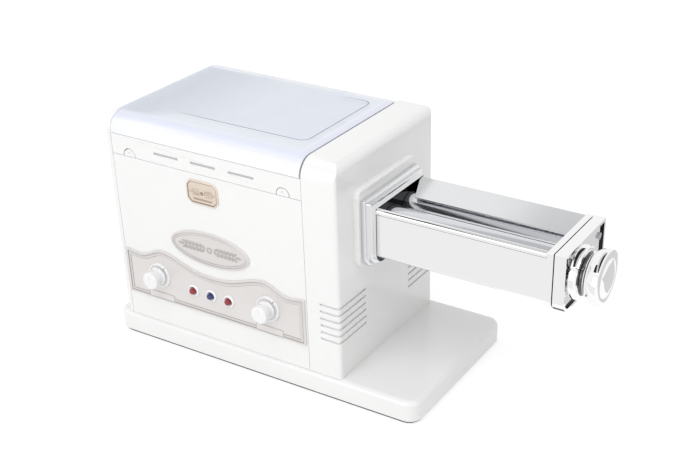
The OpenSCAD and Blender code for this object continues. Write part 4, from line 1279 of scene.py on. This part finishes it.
@dataclass
class SoftShells:
    """Mouldings and plates whose CAD shape is right, with their edges rounded.

    The shade sheet's span is counted from the front of the slotted strip, and the lid's span
    downwards from the underside of its sheet. The lid gets a painted shade line there from the
    first place of its edge to the second along Y, and to the third along X.
    """

    edge: dict[str, float] = field(default_factory=lambda: {
        "rear_case": 0.8, "front_panel": 0.2, "drive_housing": 0.4, "slotted_strip": 0.25,
        "mounting_flange": 1.4, "inner_plate": 0.5, "end_plate": 0.9, "end_cap": 0.7,
        "feed_plate": 0.3, "mixing_tub": 0.4, "paddles": 1.0, "lid": 0.5,
    })
    edge_steps: int = 2
    sharp_angle: float = 35.0
    bodies: dict[str, str] = field(default_factory=lambda: {"lid": "lid", "paddles": "kneader"})
    whole: tuple[str, ...] = ("mixing_tub",)
    flat: float = 0.6
    shade_sheet_ends: float = 20.0
    shade_sheet_rim: float = 1.0
    shade_sheet_span: Span = (1.4, 2.0)
    shade_sheet_dark: float = 0.55
    cap_seam: float = 0.9
    cap_rim: float = 1.5
    lid_sheet: float = 2.5
    lid_span: Span = (0.1, 1.6)
    lid_edge: tuple[float, float, float] = (-60.0, -36.0, -30.0)
    lid_dark: float = 0.45

    def build(self) -> None:
        """Builds a soft-edged piece for each node."""
        extras = {"inner_plate": self.darken_plate, "end_cap": self.darken_cap,
                  "lid": self.darken_lid, "slotted_strip": self.shade_slots}
        for node, edge in self.edge.items():
            slot = Slot(frame["nodes"][node].data.materials[0].name)
            blank = Blank.of_node(node, f"{node}_shell", 0.0 if node in self.whole else self.flat)
            if node in extras:
                extras[node](blank)
            blank.soften(edge, self.edge_steps).smooth(self.sharp_angle)
            blank.hand_over(self.bodies.get(node, "root"), slot, node)

    def darken_plate(self, blank: Blank) -> None:
        """Paints shade on the side of the inner plate that lies in the dark of the roller box."""
        blank.mark_shade_and_print(face_test=lambda m, n: n.x > 0.5)

    def darken_cap(self, blank: Blank) -> None:
        """Paints shade into the seam round the end cap and onto the walls of its sunk middle.

        Args:
            blank: the end cap.
        """
        low, high = box_of("end_cap")
        middle, inner = (low + high) / 2, (high - low) / 2 - Vector((self.cap_rim,) * 3)
        blank.mark_shade_and_print(face_test=lambda m, n: abs(n.x) < 0.5 and (
            m.x < low.x + self.cap_seam
            or (abs(m.y - middle.y) < inner.y and abs(m.z - middle.z) < inner.z)))

    def darken_lid(self, blank: Blank) -> None:
        """Paints a shade line, dark and opaque, on the step under the lid's sheet, near its front
        and its right side.

        Args:
            blank: the lid.
        """
        under = box_of("lid")[1].z - self.lid_sheet
        (start, end), (near, front, right) = self.lid_span, self.lid_edge
        blank.mark_shade_and_print(self.lid_dark, lambda m, n: (
            under - end < m.z < under - start and abs(n.z) < 0.5
            and (near < m.y < front or near < m.x < right)))

    def shade_slots(self, blank: Blank) -> None:
        """Puts a dim sheet behind the strip's slots, part of the same piece: painted shade where
        the slots look into the machine.

        Args:
            blank: the slotted strip.
        """
        low, high = box_of("slotted_strip")
        (start, end), sides, rim = self.shade_sheet_span, self.shade_sheet_ends, self.shade_sheet_rim
        shade_sheet = Blank.block("slot_shade_sheet", (low.x + sides, low.y + start, low.z + rim),
                              (high.x - sides, low.y + end, high.z - rim))
        blank.open_mark()
        blank.join(shade_sheet.mark_shade_and_print(self.shade_sheet_dark))


@dataclass
class Base:
    """White foot of the machine: one slab. A rounding is its width and its steps."""

    corner: tuple[float, int] = (14.0, 12)
    top_edge: tuple[float, int] = (5.0, 8)
    bottom_edge: tuple[float, int] = (0.8, 2)

    def build(self) -> None:
        """Shapes the slab from a block."""
        low, high = box_of("base_plate")
        slab = Blank.block("base_slab", low, high)
        slab.bevel(upright, *self.corner)
        slab.bevel(level_at(high.z), *self.top_edge)
        slab.bevel(level_at(low.z), *self.bottom_edge)
        slab.smooth(angle=40).hand_over("root", Slot.CASE, "base_plate")


@dataclass
class ControlPlate:
    """Satin plate with a wavy top, a pressed double border and a label tab under each knob."""

    thickness: float = 1.45
    end_height: float = 50.0
    wave_height: float = 13.5
    wave_at: float = 64.0
    wave_power: float = 1.25
    wave_dip: float = 93.0
    wave_low: float = 0.8
    wave_fall: float = 3.7
    middle_drop: float = 4.5
    corner_rise: float = 2.0
    corner_run: float = 19.0
    columns: int = 50
    first_column: float = 7.5
    knob_spread: float = 137.0
    tab: Size = (33.0, 7.6, 0.5)
    tab_foot: float = 1.8
    # The third number of each ring is how dark it is painted: painted shade along the border's
    # grooves, on the plate and on the tabs.
    border: tuple[Ring, ...] = (
        (0.35, 0.12, 0.0), (0.8, 0.0, 0.0), (0.3, 0.38, 0.1), (0.7, 0.0, 0.0),
        (0.35, -0.45, 1.0), (0.55, 0.0, 0.8), (1.5, 0.1, 0.2), (0.3, 0.3, 0.1),
        (0.6, 0.0, 0.0), (0.45, -0.4, 1.0), (0.5, 0.0, 0.25),
    )
    tab_border: tuple[Ring, ...] = ((0.35, 0.0, 1.0), (0.3, 0.05, 0.3))

    def height(self, u: float) -> float:
        """Follows the wave of the top.

        Args:
            u: the distance from the plate's middle.

        Returns:
            The plate's height there.
        """
        if u < self.wave_at:
            swell = self.ease((u / self.wave_at) ** self.wave_power)
            return self.end_height - self.middle_drop + self.wave_height * swell
        if u < self.wave_dip:
            fall = 1 - self.ease((u - self.wave_at) / (self.wave_dip - self.wave_at))
            return self.end_height - self.wave_low + (self.wave_height - self.wave_fall) * fall
        rise = self.ease(min(1.0, (u - self.wave_dip) / self.corner_run))
        return self.end_height - self.wave_low + self.corner_rise * rise

    @staticmethod
    def ease(share: float) -> float:
        """Half a wave that rises from 0 to 1."""
        return (1 - math.cos(math.pi * share)) / 2

    def build(self) -> None:
        """Builds the plate, then the tabs, as one piece."""
        low, high = box_of("control_plate")
        half = (high.x - low.x) / 2
        inner = half - self.first_column
        spots = [inner * (2 * i / self.columns - 1) for i in range(self.columns + 1)]
        spots = [-half, *spots, half]
        plate = Blank.skyline("control_plate_sheet", [(x, self.height(abs(x))) for x in spots],
                              self.thickness)
        plate.press(self.border)
        width, rise, lift = self.tab
        for side in (-1, 1):
            centre = side * self.knob_spread / 2
            tab = Blank.block("label_tab", (centre - width / 2, self.tab_foot, self.thickness / 2),
                              (centre + width / 2, self.tab_foot + rise, self.thickness + lift))
            plate.join(tab.press(self.tab_border))
        plate.place(front_place((low.x + high.x) / 2, low.z)).smooth(angle=20)
        plate.hand_over("root", Slot.PANEL, "control_plate")


def front_place(x: float, z: float) -> Matrix:
    """Finds the place on the case's front for what was made lying on z = 0, +Y upwards."""
    face = box_of("front_panel")[0].y
    return Matrix.Translation((x, face, z)) @ turn_to(Axis.Y, forward=False)


def front_of(node: str) -> Matrix:
    """Finds the place of a node's middle on the case's front."""
    low, high = box_of(node)
    return front_place((low.x + high.x) / 2, (low.z + high.z) / 2)


@dataclass(frozen=True)
class Sprig:
    """A plain ear of grain, leaf by leaf, as ornament on the plaques.

    The leaves of a pair lie apart by the part, as a share of a leaf's width to each side.
    """

    leaf: Size = (7.4, 2.7, 0.6)
    pitch: float = 4.5
    pairs: int = 6
    lean: float = 32.0
    part: float = 0.9

    def make(self, name: str, level: float, start: float, amount: float) -> Blank:
        """Makes two ears that point away from each other.

        Args:
            name: the piece's name.
            level: the height of the leaves' middle above z = 0.
            start: distance of the first leaf from the middle.
            amount: how dark the leaves are, as print.

        Returns:
            The ears, along X about the origin.
        """
        length, width, height = self.leaf
        deselect_all()
        bpy.ops.mesh.primitive_uv_sphere_add(segments=12, ring_count=6, radius=MM / 2)
        leaf = Blank(name).stretch(length, width, 2 * height)
        leaf.mark_shade_and_print(amount)
        spots = []
        for side in (0.0, math.pi):
            for i in range(self.pairs):
                for way in (-1, 1):
                    reach = start + i * self.pitch
                    spot = Matrix.Rotation(side, 4, "Z") @ Matrix.Translation(
                        (reach, way * width * self.part, level))
                    spots.append(spot @ Matrix.Rotation(way * math.radians(self.lean), 4, "Z"))
            spots.append(Matrix.Rotation(side, 4, "Z") @ Matrix.Translation(
                (start + self.pairs * self.pitch, 0, level)))
        return leaf.spread(spots)


@dataclass
class Plaques:
    """Oval badge and small bronze crest on the front, with their ornament.

    A stud is its radius, its height above the plaque and its sides.
    """

    base: float = 1.15
    badge_half: tuple[float, float] = (48.6, 18.6)
    # The third number of each border ring is how dark it is painted: painted shade along the
    # border's grooves; the stud's dark rings and middle are painted shade in its sunk steps.
    badge_border: tuple[Ring, ...] = (
        (0.35, 0.2, 0.1), (0.8, 0.0, 0.0), (0.3, 0.35, 0.1), (0.6, 0.0, 0.0),
        (0.4, -0.45, 0.8), (0.5, 0.0, 0.35), (0.35, 0.3, 0.15), (0.9, 0.0, 0.0),
        (0.5, -0.45, 0.75), (0.6, 0.0, 0.25),
    )
    badge_ears: Sprig = Sprig()
    badge_stud: tuple[float, float, int] = (3.4, 0.5, 32)
    badge_stud_border: tuple[Ring, ...] = ((0.5, 0.1, 0.6), (0.5, -0.2, 1.0))
    crest_half: tuple[float, float] = (19.0, 12.5)
    crest_cut: float = 5.0
    # The crest's border rings and its stud's dark rings and middle are painted shade in their
    # grooves and sunk steps.
    crest_border: tuple[Ring, ...] = (
        (0.4, 0.2, 0.2), (0.9, 0.0, 0.0), (0.4, -0.5, 1.0), (0.5, 0.0, 0.8), (0.4, 0.2, 0.4),
    )
    crest_ears: Sprig = Sprig(leaf=(4.8, 2.2, 0.7), pitch=3.0, pairs=3, lean=38.0)
    crest_stud: tuple[float, float, int] = (2.6, 0.4, 24)
    crest_stud_border: tuple[Ring, ...] = ((0.5, 0.1, 0.0), (0.5, -0.3, 1.0))
    crest_bar: Corners = ((-11, -8.0, 0.55), (11, -6.2, 1.4))

    def build(self) -> None:
        """Builds both plaques."""
        self.make_badge()
        self.make_crest()

    def stud(self, name: str, size: tuple[float, float, int], border: Sequence[Ring],
             middle: float) -> Blank:
        """Makes a small round stud with a pressed border for the middle of a plaque.

        Args:
            name: the piece's name.
            size: its radius, its height above the plaque and its sides.
            border: the border's rings.
            middle: how worn its middle is.

        Returns:
            The stud.
        """
        radius, rise, sides = size
        return Blank.disc(name, radius, self.base + rise, sides).press(border, middle)

    def make_badge(self) -> None:
        """Builds the oval badge from a disc that is stretched, then pressed."""
        radius = 10.0
        badge = Blank.disc("oval_badge_plaque", radius, self.base)
        badge.stretch(*(half / radius for half in self.badge_half))
        badge.press(self.badge_border, middle=0.05)
        ears = self.badge_ears.make("badge_ears", level=self.base + 0.1, start=8.5, amount=0.65)
        stud = self.stud("badge_boss", self.badge_stud, self.badge_stud_border, middle=0.3)
        badge.join(ears, stud).place(front_of("oval_badge")).smooth(angle=35)
        badge.hand_over("root", Slot.PANEL, "oval_badge")

    def make_crest(self) -> None:
        """Builds the crest plate from a block with its corners cut off."""
        width, height = self.crest_half
        crest = Blank.block("crest_plaque", (-width, -height, 0), (width, height, self.base))
        crest.bevel(upright, self.crest_cut, steps=1).press(self.crest_border, middle=0.1)
        ears = self.crest_ears.make("crest_ears", level=self.base, start=4.2, amount=0.5)
        crest.join(Blank.block("crest_bar", *self.crest_bar).mark_shade_and_print(amount=0.7))
        stud = self.stud("crest_ring", self.crest_stud, self.crest_stud_border, middle=0.9)
        crest.join(ears, stud).place(front_of("crest_plate")).smooth(angle=30)
        crest.hand_over("root", Slot.BRONZE, "crest_plate")


@dataclass
class Controls:
    """Turning knobs on their rings, and push buttons in their cups."""

    ring: Profile = ((5, 1.5), (13.5, 1.5), (13.5, 3.1), (13.2, 3.7), (12.5, 4.0), (11.7, 3.8),
                     (11.1, 3.2), (10.4, 2.9), (5, 2.9))
    knob: Profile = ((0, -11), (3, -11), (3, 4.3), (9.4, 4.3), (9.5, 4.5), (9.5, 5.8),
                     (9.2, 6.3), (8.2, 6.9), (7.8, 7.6), (7.8, 12.2), (8.7, 12.5), (9.15, 12.8),
                     (9.2, 13.2), (9.2, 17.0), (9.0, 17.7), (8.4, 18.2), (7.6, 18.4), (0, 18.4))
    cup: Profile = ((3.7, -3), (4.6, -3), (4.6, 1.5), (6.8, 1.5), (6.8, 2.3), (6.55, 3.0),
                    (6.0, 3.45), (5.4, 3.6), (4.9, 3.4), (4.3, 2.8), (3.75, 2.2))
    cap: Profile = ((0, -10.2), (1.5, -10.2), (1.5, -3), (3.6, -3), (3.6, 2.2), (3.25, 2.6),
                    (3.25, 4.4), (3.15, 5.2), (2.8, 5.9), (2.2, 6.4), (1.5, 6.72), (0.8, 6.86),
                    (0, 6.9))
    cap_sides: int = 64
    tick: Corners = ((-0.45, 11.0, 3.0), (0.45, 13.45, 3.95))
    tick_angle: float = 38.0
    line: Corners = ((-0.45, 0.5, 17.9), (0.45, 8.0, 18.48))
    line_print: float = 0.2
    sharp_angle: float = 32.0
    knobs: tuple[str, ...] = ("speed_knob", "timer_knob")
    buttons: dict[str, Slot] = field(default_factory=lambda: {
        "button_left": Slot.RED, "button_middle": Slot.BLUE, "button_right": Slot.RED})

    def build(self) -> None:
        """Builds the knobs and the buttons where their nodes are."""
        rings, cups = [], []
        for node in self.knobs:
            place = front_of(node)
            ring = Blank.turned(f"{node}_ring", self.ring, ring=True)
            tick = Blank.block("tick", *self.tick).mark_shade_and_print()
            tick.place(Matrix.Rotation(-math.radians(self.tick_angle), 4, "Z"))
            rings.append(ring.join(tick).place(place))
            knob = Blank.turned(f"{node}_turned", self.knob)
            knob.join(Blank.block("line", *self.line).mark_shade_and_print(self.line_print)).place(place)
            knob.smooth(self.sharp_angle).hand_over(node, Slot.TRIM, node)
        for node, slot in self.buttons.items():
            place = front_of(node)
            cups.append(Blank.turned(f"{node}_cup", self.cup, ring=True).place(place))
            cap = Blank.turned(f"{node}_cap", self.cap, self.cap_sides).place(place)
            cap.smooth(angle=40).hand_over(node, slot, node)
        for name, (first, *others), node in (("knob_rings_turned", rings, "knob_rings"),
                                             ("button_cups", cups, "button_bezels")):
            first.piece.name = name
            first.join(*others).smooth(self.sharp_angle).hand_over("root", Slot.TRIM, node)


@dataclass
class RegulatorKnob:
    """Chromed knob of the rollers: base ring, waist, flared body and a flat domed face."""

    profile: Profile = ((5.1, 0), (23.4, 0), (24.5, 0.5), (25.0, 1.6), (25.0, 5.8), (24.6, 6.9),
                        (23.4, 7.7), (20.4, 8.2), (19.3, 8.9), (19.0, 10.2), (19.3, 11.6),
                        (20.6, 13.4), (22.6, 15.4), (24.6, 18.0), (25.8, 21.0), (26.4, 23.6),
                        (26.5, 25.0), (26.4, 26.6), (25.9, 27.5), (25.0, 27.9), (18.6, 27.9),
                        (18.0, 27.6), (17.4, 27.9), (16.4, 28.35), (15.0, 28.85), (13.5, 29.3),
                        (12.0, 29.6), (10.0, 29.8), (6.0, 29.88), (0, 29.9))
    sides: int = 128
    hole_radius: float = 3.6
    hole_along: float = 18.4
    hole_depth: float = 8.0
    hole_turn: float = -18.0
    waist: Span = (8.3, 11.0)
    waist_radius: float = 17.32
    # How dark the index hole's walls and the waist are painted: painted shade in the hole, a
    # painted dark reflection round the waist.
    dark: float = 0.9

    def build(self) -> None:
        """Turns the knob and drills its index hole."""
        low, high = box_of("regulator_knob")
        knob = Blank.turned("regulator_knob_turned", self.profile, self.sides)
        cutter = Blank.disc("index_drill", self.hole_radius, 1.5 * self.hole_depth, sides=32)
        sideways = Matrix.Rotation(math.pi / 2, 4, "X")
        reach = (high.y - low.y) / 2 - self.hole_depth
        # The drill's dark mark passes to the hole's walls: painted shade in the index hole.
        cutter.place(Matrix.Translation((0, 0, self.hole_along)) @ sideways
                     @ Matrix.Translation((0, 0, reach))).mark_shade_and_print(self.dark)
        # A painted dark reflection round the waist.
        first, last = self.waist
        knob.mark_shade_and_print(self.dark, lambda m, n: (
            first < m.z < last and math.hypot(m.x, m.y) > self.waist_radius))
        knob.drill(cutter)
        place = Matrix.Translation((low.x, (low.y + high.y) / 2, (low.z + high.z) / 2))
        turn = Matrix.Rotation(math.radians(self.hole_turn), 4, "X")
        knob.place(place @ turn @ turn_to(Axis.X))
        knob.smooth(angle=24, flats=False)
        knob.hand_over("regulator_knob", Slot.CHROME, "regulator_knob")


@dataclass
class CasingFront:
    """Chromed front sheet: a proud bead rolled along its top, its bottom bent in.

    The step is how far under the bead's shoulder the sheet leaves its wall, turns and arrives.
    """

    sheet: float = 1.2
    bead_height: float = 5.2
    proud: float = 0.7
    step: tuple[float, float, float] = (0.9, 0.6, 0.2)
    step_round: float = 0.1
    bend: float = 3.0
    foot: float = 8.0
    back_lip: float = 2.0
    turn_steps: int = 8
    edge: float = 0.25
    bead_shadow_span: Span = (0.75, 0.05)
    inside_lean: float = 0.25

    def arc(self, y: float, z: float, start: float, end: float) -> list[tuple[float, float]]:
        """Follows a bend of the sheet.

        Args:
            y: the bend's centre along Y.
            z: the bend's centre along Z.
            start: the angle of the first point, in degrees from +Y.
            end: the angle of the last point.

        Returns:
            The points.
        """
        radius = self.bend - self.sheet / 2
        turns = [start + (end - start) * i / self.turn_steps for i in range(self.turn_steps + 1)]
        return [(y + radius * math.cos(math.radians(t)), z + radius * math.sin(math.radians(t)))
                for t in turns]

    def build(self) -> None:
        """Bends the sheet, gives it its thickness, and paints shade on its inside and a shadow
        line under the bead.
        """
        low, high = box_of("casing_front")
        outer = low.y + self.sheet / 2
        wall = outer + self.proud
        shoulder = high.z - self.bead_height
        leave, turn, arrive = (shoulder - drop for drop in self.step)
        section = [(wall + self.foot, low.z + self.sheet / 2)]
        section += self.arc(wall + self.bend - self.sheet / 2, low.z + self.bend, 270, 180)
        section += [(wall, leave), (wall - self.step_round, turn),
                    (outer + self.step_round, arrive), (outer, shoulder)]
        section += self.arc(outer + self.bend - self.sheet / 2, high.z - self.bend, 180, 0)
        section.append((section[-1][0], high.z - self.bend - self.back_lip))
        casing = Blank.strip("casing_front_sheet", section, low.x, high.x)
        casing.thicken(self.sheet, offset=0.0).merge()
        casing.soften(self.edge, steps=2, sharper_than=50)
        # Painted shade on the inside of the sheet and a painted shadow line just under the bead's
        # shoulder.
        inside, (start, end) = outer + self.sheet, self.bead_shadow_span
        casing.mark_shade_and_print(face_test=lambda m, n: (
            m.y > outer and n.y > self.inside_lean and m.z < high.z - self.bead_shadow_span[1]
            or (m.y < inside and shoulder - start < m.z < shoulder - end)))
        casing.smooth(angle=35).hand_over("root", Slot.CHROME, "casing_front")


@dataclass
class PlainNodes:
    """CAD nodes that keep their own mesh and get their finish."""

    def build(self) -> None:
        """Gives each node that is still shown the material of its slot."""
        for name, node in frame["nodes"].items():
            if node.hide_render:
                continue
            slot = Slot(node.data.materials[0].name)
            node.data.materials[0] = material_of(slot)
            log.info("%s keeps its mesh, in %s", name, slot.value)


# ------------------------------------------------------------------ studio


def bare_material(name: str) -> tuple[Material, Wiring, Socket]:
    """Adds a material without a shader.

    Args:
        name: the material's name.

    Returns:
        The material, its wiring and the input that takes its shader.
    """
    material = bpy.data.materials.new(name)
    material.use_nodes = True
    nodes = material.node_tree.nodes
    nodes.remove(nodes["Principled BSDF"])
    return material, Wiring(material.node_tree), nodes["Material Output"].inputs[0]


def grey(level: float) -> tuple[float, float, float, float]:
    """Gives a socket's value for a colour without a hue."""
    return (level, level, level, 1.0)


@dataclass(frozen=True)
class Aimed:
    """Something flat that stands at a place and looks at a point."""

    name: str
    place: Size
    aim: Size
    size: tuple[float, float]

    def set_up(self, thing: Piece, front: str) -> None:
        """Puts the thing at its place and turns it.

        Args:
            thing: the lamp or card.
            front: the axis that looks at the point.
        """
        way = Vector(self.aim) - Vector(self.place)
        thing.location = Vector(self.place) * MM
        thing.rotation_mode = "QUATERNION"
        thing.rotation_quaternion = way.to_track_quat(front, "Y")


@dataclass(frozen=True)
class Softbox(Aimed):
    """An area lamp."""

    power: float

    def build(self) -> None:
        """Adds the lamp."""
        data = bpy.data.lights.new(self.name, "AREA")
        data.shape = "RECTANGLE"
        data.size, data.size_y = (side * MM for side in self.size)
        data.energy = self.power
        lamp = bpy.data.objects.new(self.name, data)
        self.set_up(lamp, "-Z")
        bpy.context.scene.collection.objects.link(lamp)


@dataclass(frozen=True)
class Flag(Aimed):
    """A dark or pale card that only mirrors and gloss see, as a studio hangs round chrome."""

    shade: float = 0.02

    def build(self) -> None:
        """Adds the card."""
        deselect_all()
        bpy.ops.mesh.primitive_plane_add(size=1)
        card = bpy.context.object
        card.name = self.name
        self.set_up(card, "Z")
        card.scale = (self.size[0] * MM, self.size[1] * MM, 1)
        material, wires, surface = bare_material(self.name)
        glow = wires.add("ShaderNodeEmission", Color=grey(self.shade), Strength=1.0)
        wires.join(glow.outputs[0], surface)
        card.data.materials.append(material)
        for ray in ("camera", "diffuse", "shadow", "transmission", "volume_scatter"):
            setattr(card, f"visible_{ray}", False)
        card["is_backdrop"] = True


@dataclass
class Studio:
    """White set: world, floor, contact shadow, lamps, cards and the camera."""

    camera_place: Size = (566.28, -884.97, 675.47)
    camera_turn: Size = (61.135, 0.184, 30.130)
    focal_pixels: float = 1192.45
    centre_pixels: tuple[float, float] = (408.46, 274.86)
    floor_side: float = 12000.0
    floor_albedo: float = 0.86
    floor_glow: float = 0.80
    floor_share: float = 0.26
    fill: float = 0.78
    lamps: tuple[Softbox, ...] = (
        Softbox("key_softbox", (150, -900, 1700), (0, 0, 120), (1300, 1300), 12.5),
        Softbox("front_softbox", (-200, -1700, 420), (0, 0, 120), (1500, 800), 4.2),
    )
    cards: tuple[Flag, ...] = (
        Flag("dark_ceiling", (-100, -1500, 2300), (100, 0, 150), (4200, 1500)),
        Flag("dark_bar", (0, 0, 1300), (100, 0, 180), (2600, 240)),
        Flag("dim_ceiling", (0, 0, 1320), (100, 0, 180), (2600, 900), 0.68),
        Flag("dim_floor", (600, 450, 1.0), (600, 450, 500), (580, 500), 0.70),
        Flag("pale_floor", (-200, -450, 1.0), (-200, -450, 500), (900, 520), 0.93),
    )
    shadow: Corners = ((-260.2, -81.6, 0.0), (103.7, 97.7, 0.3))
    shadow_corner: tuple[float, int] = (12.0, 6)
    shadow_albedo: float = 0.03

    def build(self) -> None:
        """Sets up everything that isn't the machine."""
        self.make_world()
        self.make_floor()
        self.make_contact()
        self.make_camera()
        for thing in (*self.lamps, *self.cards):
            thing.build()
        bpy.context.scene.view_settings.view_transform = "Standard"

    @staticmethod
    def seen_directly(wires: Wiring) -> Socket:
        """Adds a mask that is 1 for camera, glossy and transmission rays.

        Args:
            wires: the material's or the world's wiring.

        Returns:
            The socket with the mask.
        """
        rays = wires.add("ShaderNodeLightPath").outputs
        seen = wires.maths("MAXIMUM", rays["Is Camera Ray"], rays["Is Glossy Ray"])
        return wires.maths("MAXIMUM", seen, rays["Is Transmission Ray"])

    def make_world(self) -> None:
        """White where it is seen, and a plain level where it lights the machine."""
        world = bpy.data.worlds.new("studio_white")
        bpy.context.scene.world = world
        world.use_nodes = True
        wires = Wiring(world.node_tree)
        background = world.node_tree.nodes["Background"]
        set_sockets(background, Color=grey(1.0))
        seen = self.seen_directly(wires)
        rise = wires.maths("MULTIPLY", seen, 1.0 - self.fill)
        wires.join(wires.maths("ADD", rise, self.fill), background.inputs["Strength"])

    def make_floor(self) -> None:
        """A pale floor that keeps the machine's shadow."""
        deselect_all()
        bpy.ops.mesh.primitive_plane_add(size=self.floor_side * MM)
        floor = bpy.context.object
        floor.name = "studio_floor"
        material, wires, surface = bare_material("studio_floor")
        plain = wires.add("ShaderNodeBsdfDiffuse", Color=grey(self.floor_albedo))
        weak = wires.add("ShaderNodeBsdfDiffuse", Color=grey(self.floor_share))
        glow = wires.add("ShaderNodeEmission", Strength=self.floor_glow)
        shown = wires.add("ShaderNodeAddShader")
        wires.join(weak.outputs[0], shown.inputs[0])
        wires.join(glow.outputs[0], shown.inputs[1])
        mix = wires.add("ShaderNodeMixShader")
        wires.join(self.seen_directly(wires), mix.inputs[0])
        wires.join(plain.outputs[0], mix.inputs[1])
        wires.join(shown.outputs[0], mix.inputs[2])
        wires.join(mix.outputs[0], surface)
        floor.data.materials.append(material)
        floor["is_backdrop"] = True

    def make_contact(self) -> None:
        """The dark strip of floor right under the base, where no light reaches."""
        patch = Blank.block("contact_shadow", *self.shadow)
        patch.bevel(upright, *self.shadow_corner)
        material = bpy.data.materials.new("contact_shadow")
        material.use_nodes = True
        shader = material.node_tree.nodes["Principled BSDF"]
        set_sockets(shader, Base_Color=grey(self.shadow_albedo), Roughness=1.0)
        patch.piece.data.materials.append(material)
        patch.piece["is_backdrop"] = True

    def make_camera(self) -> None:
        """The photograph's viewpoint."""
        data = bpy.data.cameras.new("viewpoint")
        width, height = IMAGE
        data.sensor_width = SENSOR
        data.lens = self.focal_pixels * SENSOR / width
        data.shift_x = (width / 2 - self.centre_pixels[0]) / width
        data.shift_y = (self.centre_pixels[1] - height / 2) / width
        camera = bpy.data.objects.new("viewpoint", data)
        camera.location = Vector(self.camera_place) * MM
        camera.rotation_euler = [math.radians(turn) for turn in self.camera_turn]
        bpy.context.scene.collection.objects.link(camera)
        bpy.context.scene.camera = camera


# ------------------------------------------------------------------ main


def write_size() -> None:
    """Gathers the CAD box and the dressed machine's box into plain lists."""
    boxes = {"cad": CAD_BOUNDS, "visual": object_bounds()}
    plain = {key: [list(corner) for corner in box] for key, box in boxes.items()}


def main() -> None:
    """Builds the machine's looks, then the studio."""
    logging.basicConfig(level=logging.INFO, format="%(message)s")
    for assembly in (Base(), SoftShells(), ControlPlate(), Plaques(), Controls(),
                     RegulatorKnob(), CasingFront(), PlainNodes(), Studio()):
        assembly.build()
        log.info("%s done", type(assembly).__name__)
    write_size()


if __name__ == "__main__":
    main()
